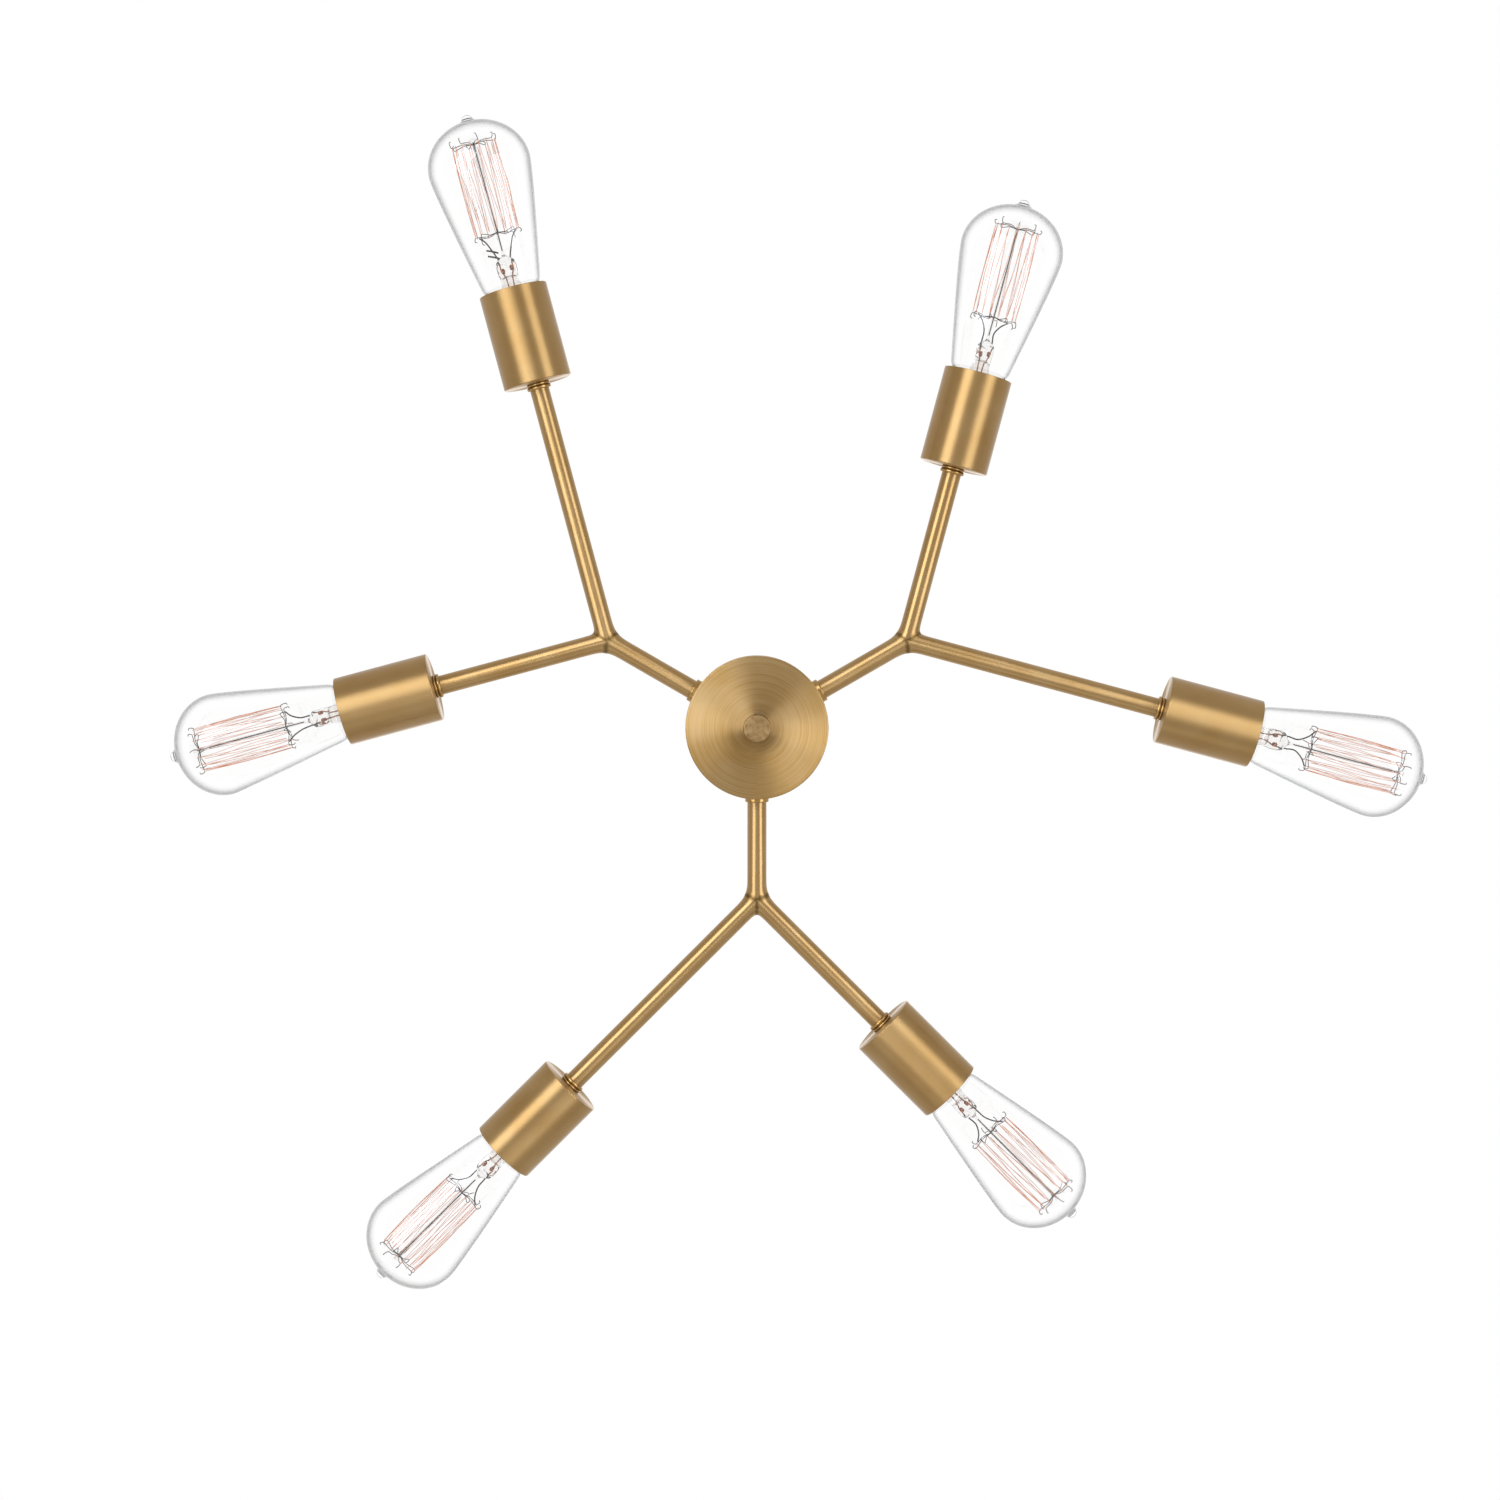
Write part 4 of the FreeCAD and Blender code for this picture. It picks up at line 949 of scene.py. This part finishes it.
# Soft panels, as the bands in the brass show them: degrees off straight down, degrees round
# the photograph (0 to its right, 90 to its top), distance, width towards the middle, length
# round it, in metres, and how bright its face is (1 is white)
panels = [
    ("leftPanel", 35.0, 151.0, 2.2, 1.2, 2.1, 5.6),
    ("rightPanel", 46.0, 8.0, 2.2, 1.05, 1.9, 4.6),
    ("lowPanel", 58.0, 252.0, 2.4, 0.9, 1.8, 0.55),
    ("topPanel", 170.0, 300.0, 2.2, 1.6, 1.6, 0.9),
]


def makeLights():
    # an area light of power P and area A shows a face of brightness P / (pi A)
    for name, off, compass, distance, width, length, bright in panels:
        tilt, turn = math.radians(off), math.radians(compass)
        place = distance * Vector((math.sin(tilt) * math.cos(turn),
                                   -math.sin(tilt) * math.sin(turn), -math.cos(tilt)))
        forward = -place.normalized()
        side = forward.cross(Vector((0.0, 0.0, 1.0))).normalized()
        light = bpy.data.lights.new(name, "AREA")
        light.shape, light.size, light.size_y = "RECTANGLE", length, width
        light.energy = bright * math.pi * width * length
        light.color = toLinear(studio["panelColour"])[:3]
        lamp = bpy.data.objects.new(name, light)
        lamp.matrix_world = standing(place, side, side.cross(forward) * -1.0, forward)
        lamp.visible_camera = False
        lamp.visible_transmission = False
        bpy.context.scene.collection.objects.link(lamp)


camera = {"place": (-0.003, -0.061, -1.906), "aim": (-0.0043, 0.0143, -0.046), "lens": 72.0,
          "sensor": 36.0}


def makeCamera():
    # under the hub, looking up: right in the picture is +X and up is -Y
    data = bpy.data.cameras.new("camera")
    data.lens, data.sensor_width = camera["lens"], camera["sensor"]
    place, aim = Vector(camera["place"]), Vector(camera["aim"])
    forward = (aim - place).normalized()
    right = forward.cross(Vector((0.0, -1.0, 0.0))).normalized()
    up = right.cross(forward)
    eye = bpy.data.objects.new("camera", data)
    eye.matrix_world = standing(place, right, up, forward)
    bpy.context.scene.collection.objects.link(eye)
    bpy.context.scene.camera = eye


makeFloor()
makeWorld()
makeLights()
makeCamera()
bpy.context.scene.view_settings.view_transform = "Standard"
print("studio set up")
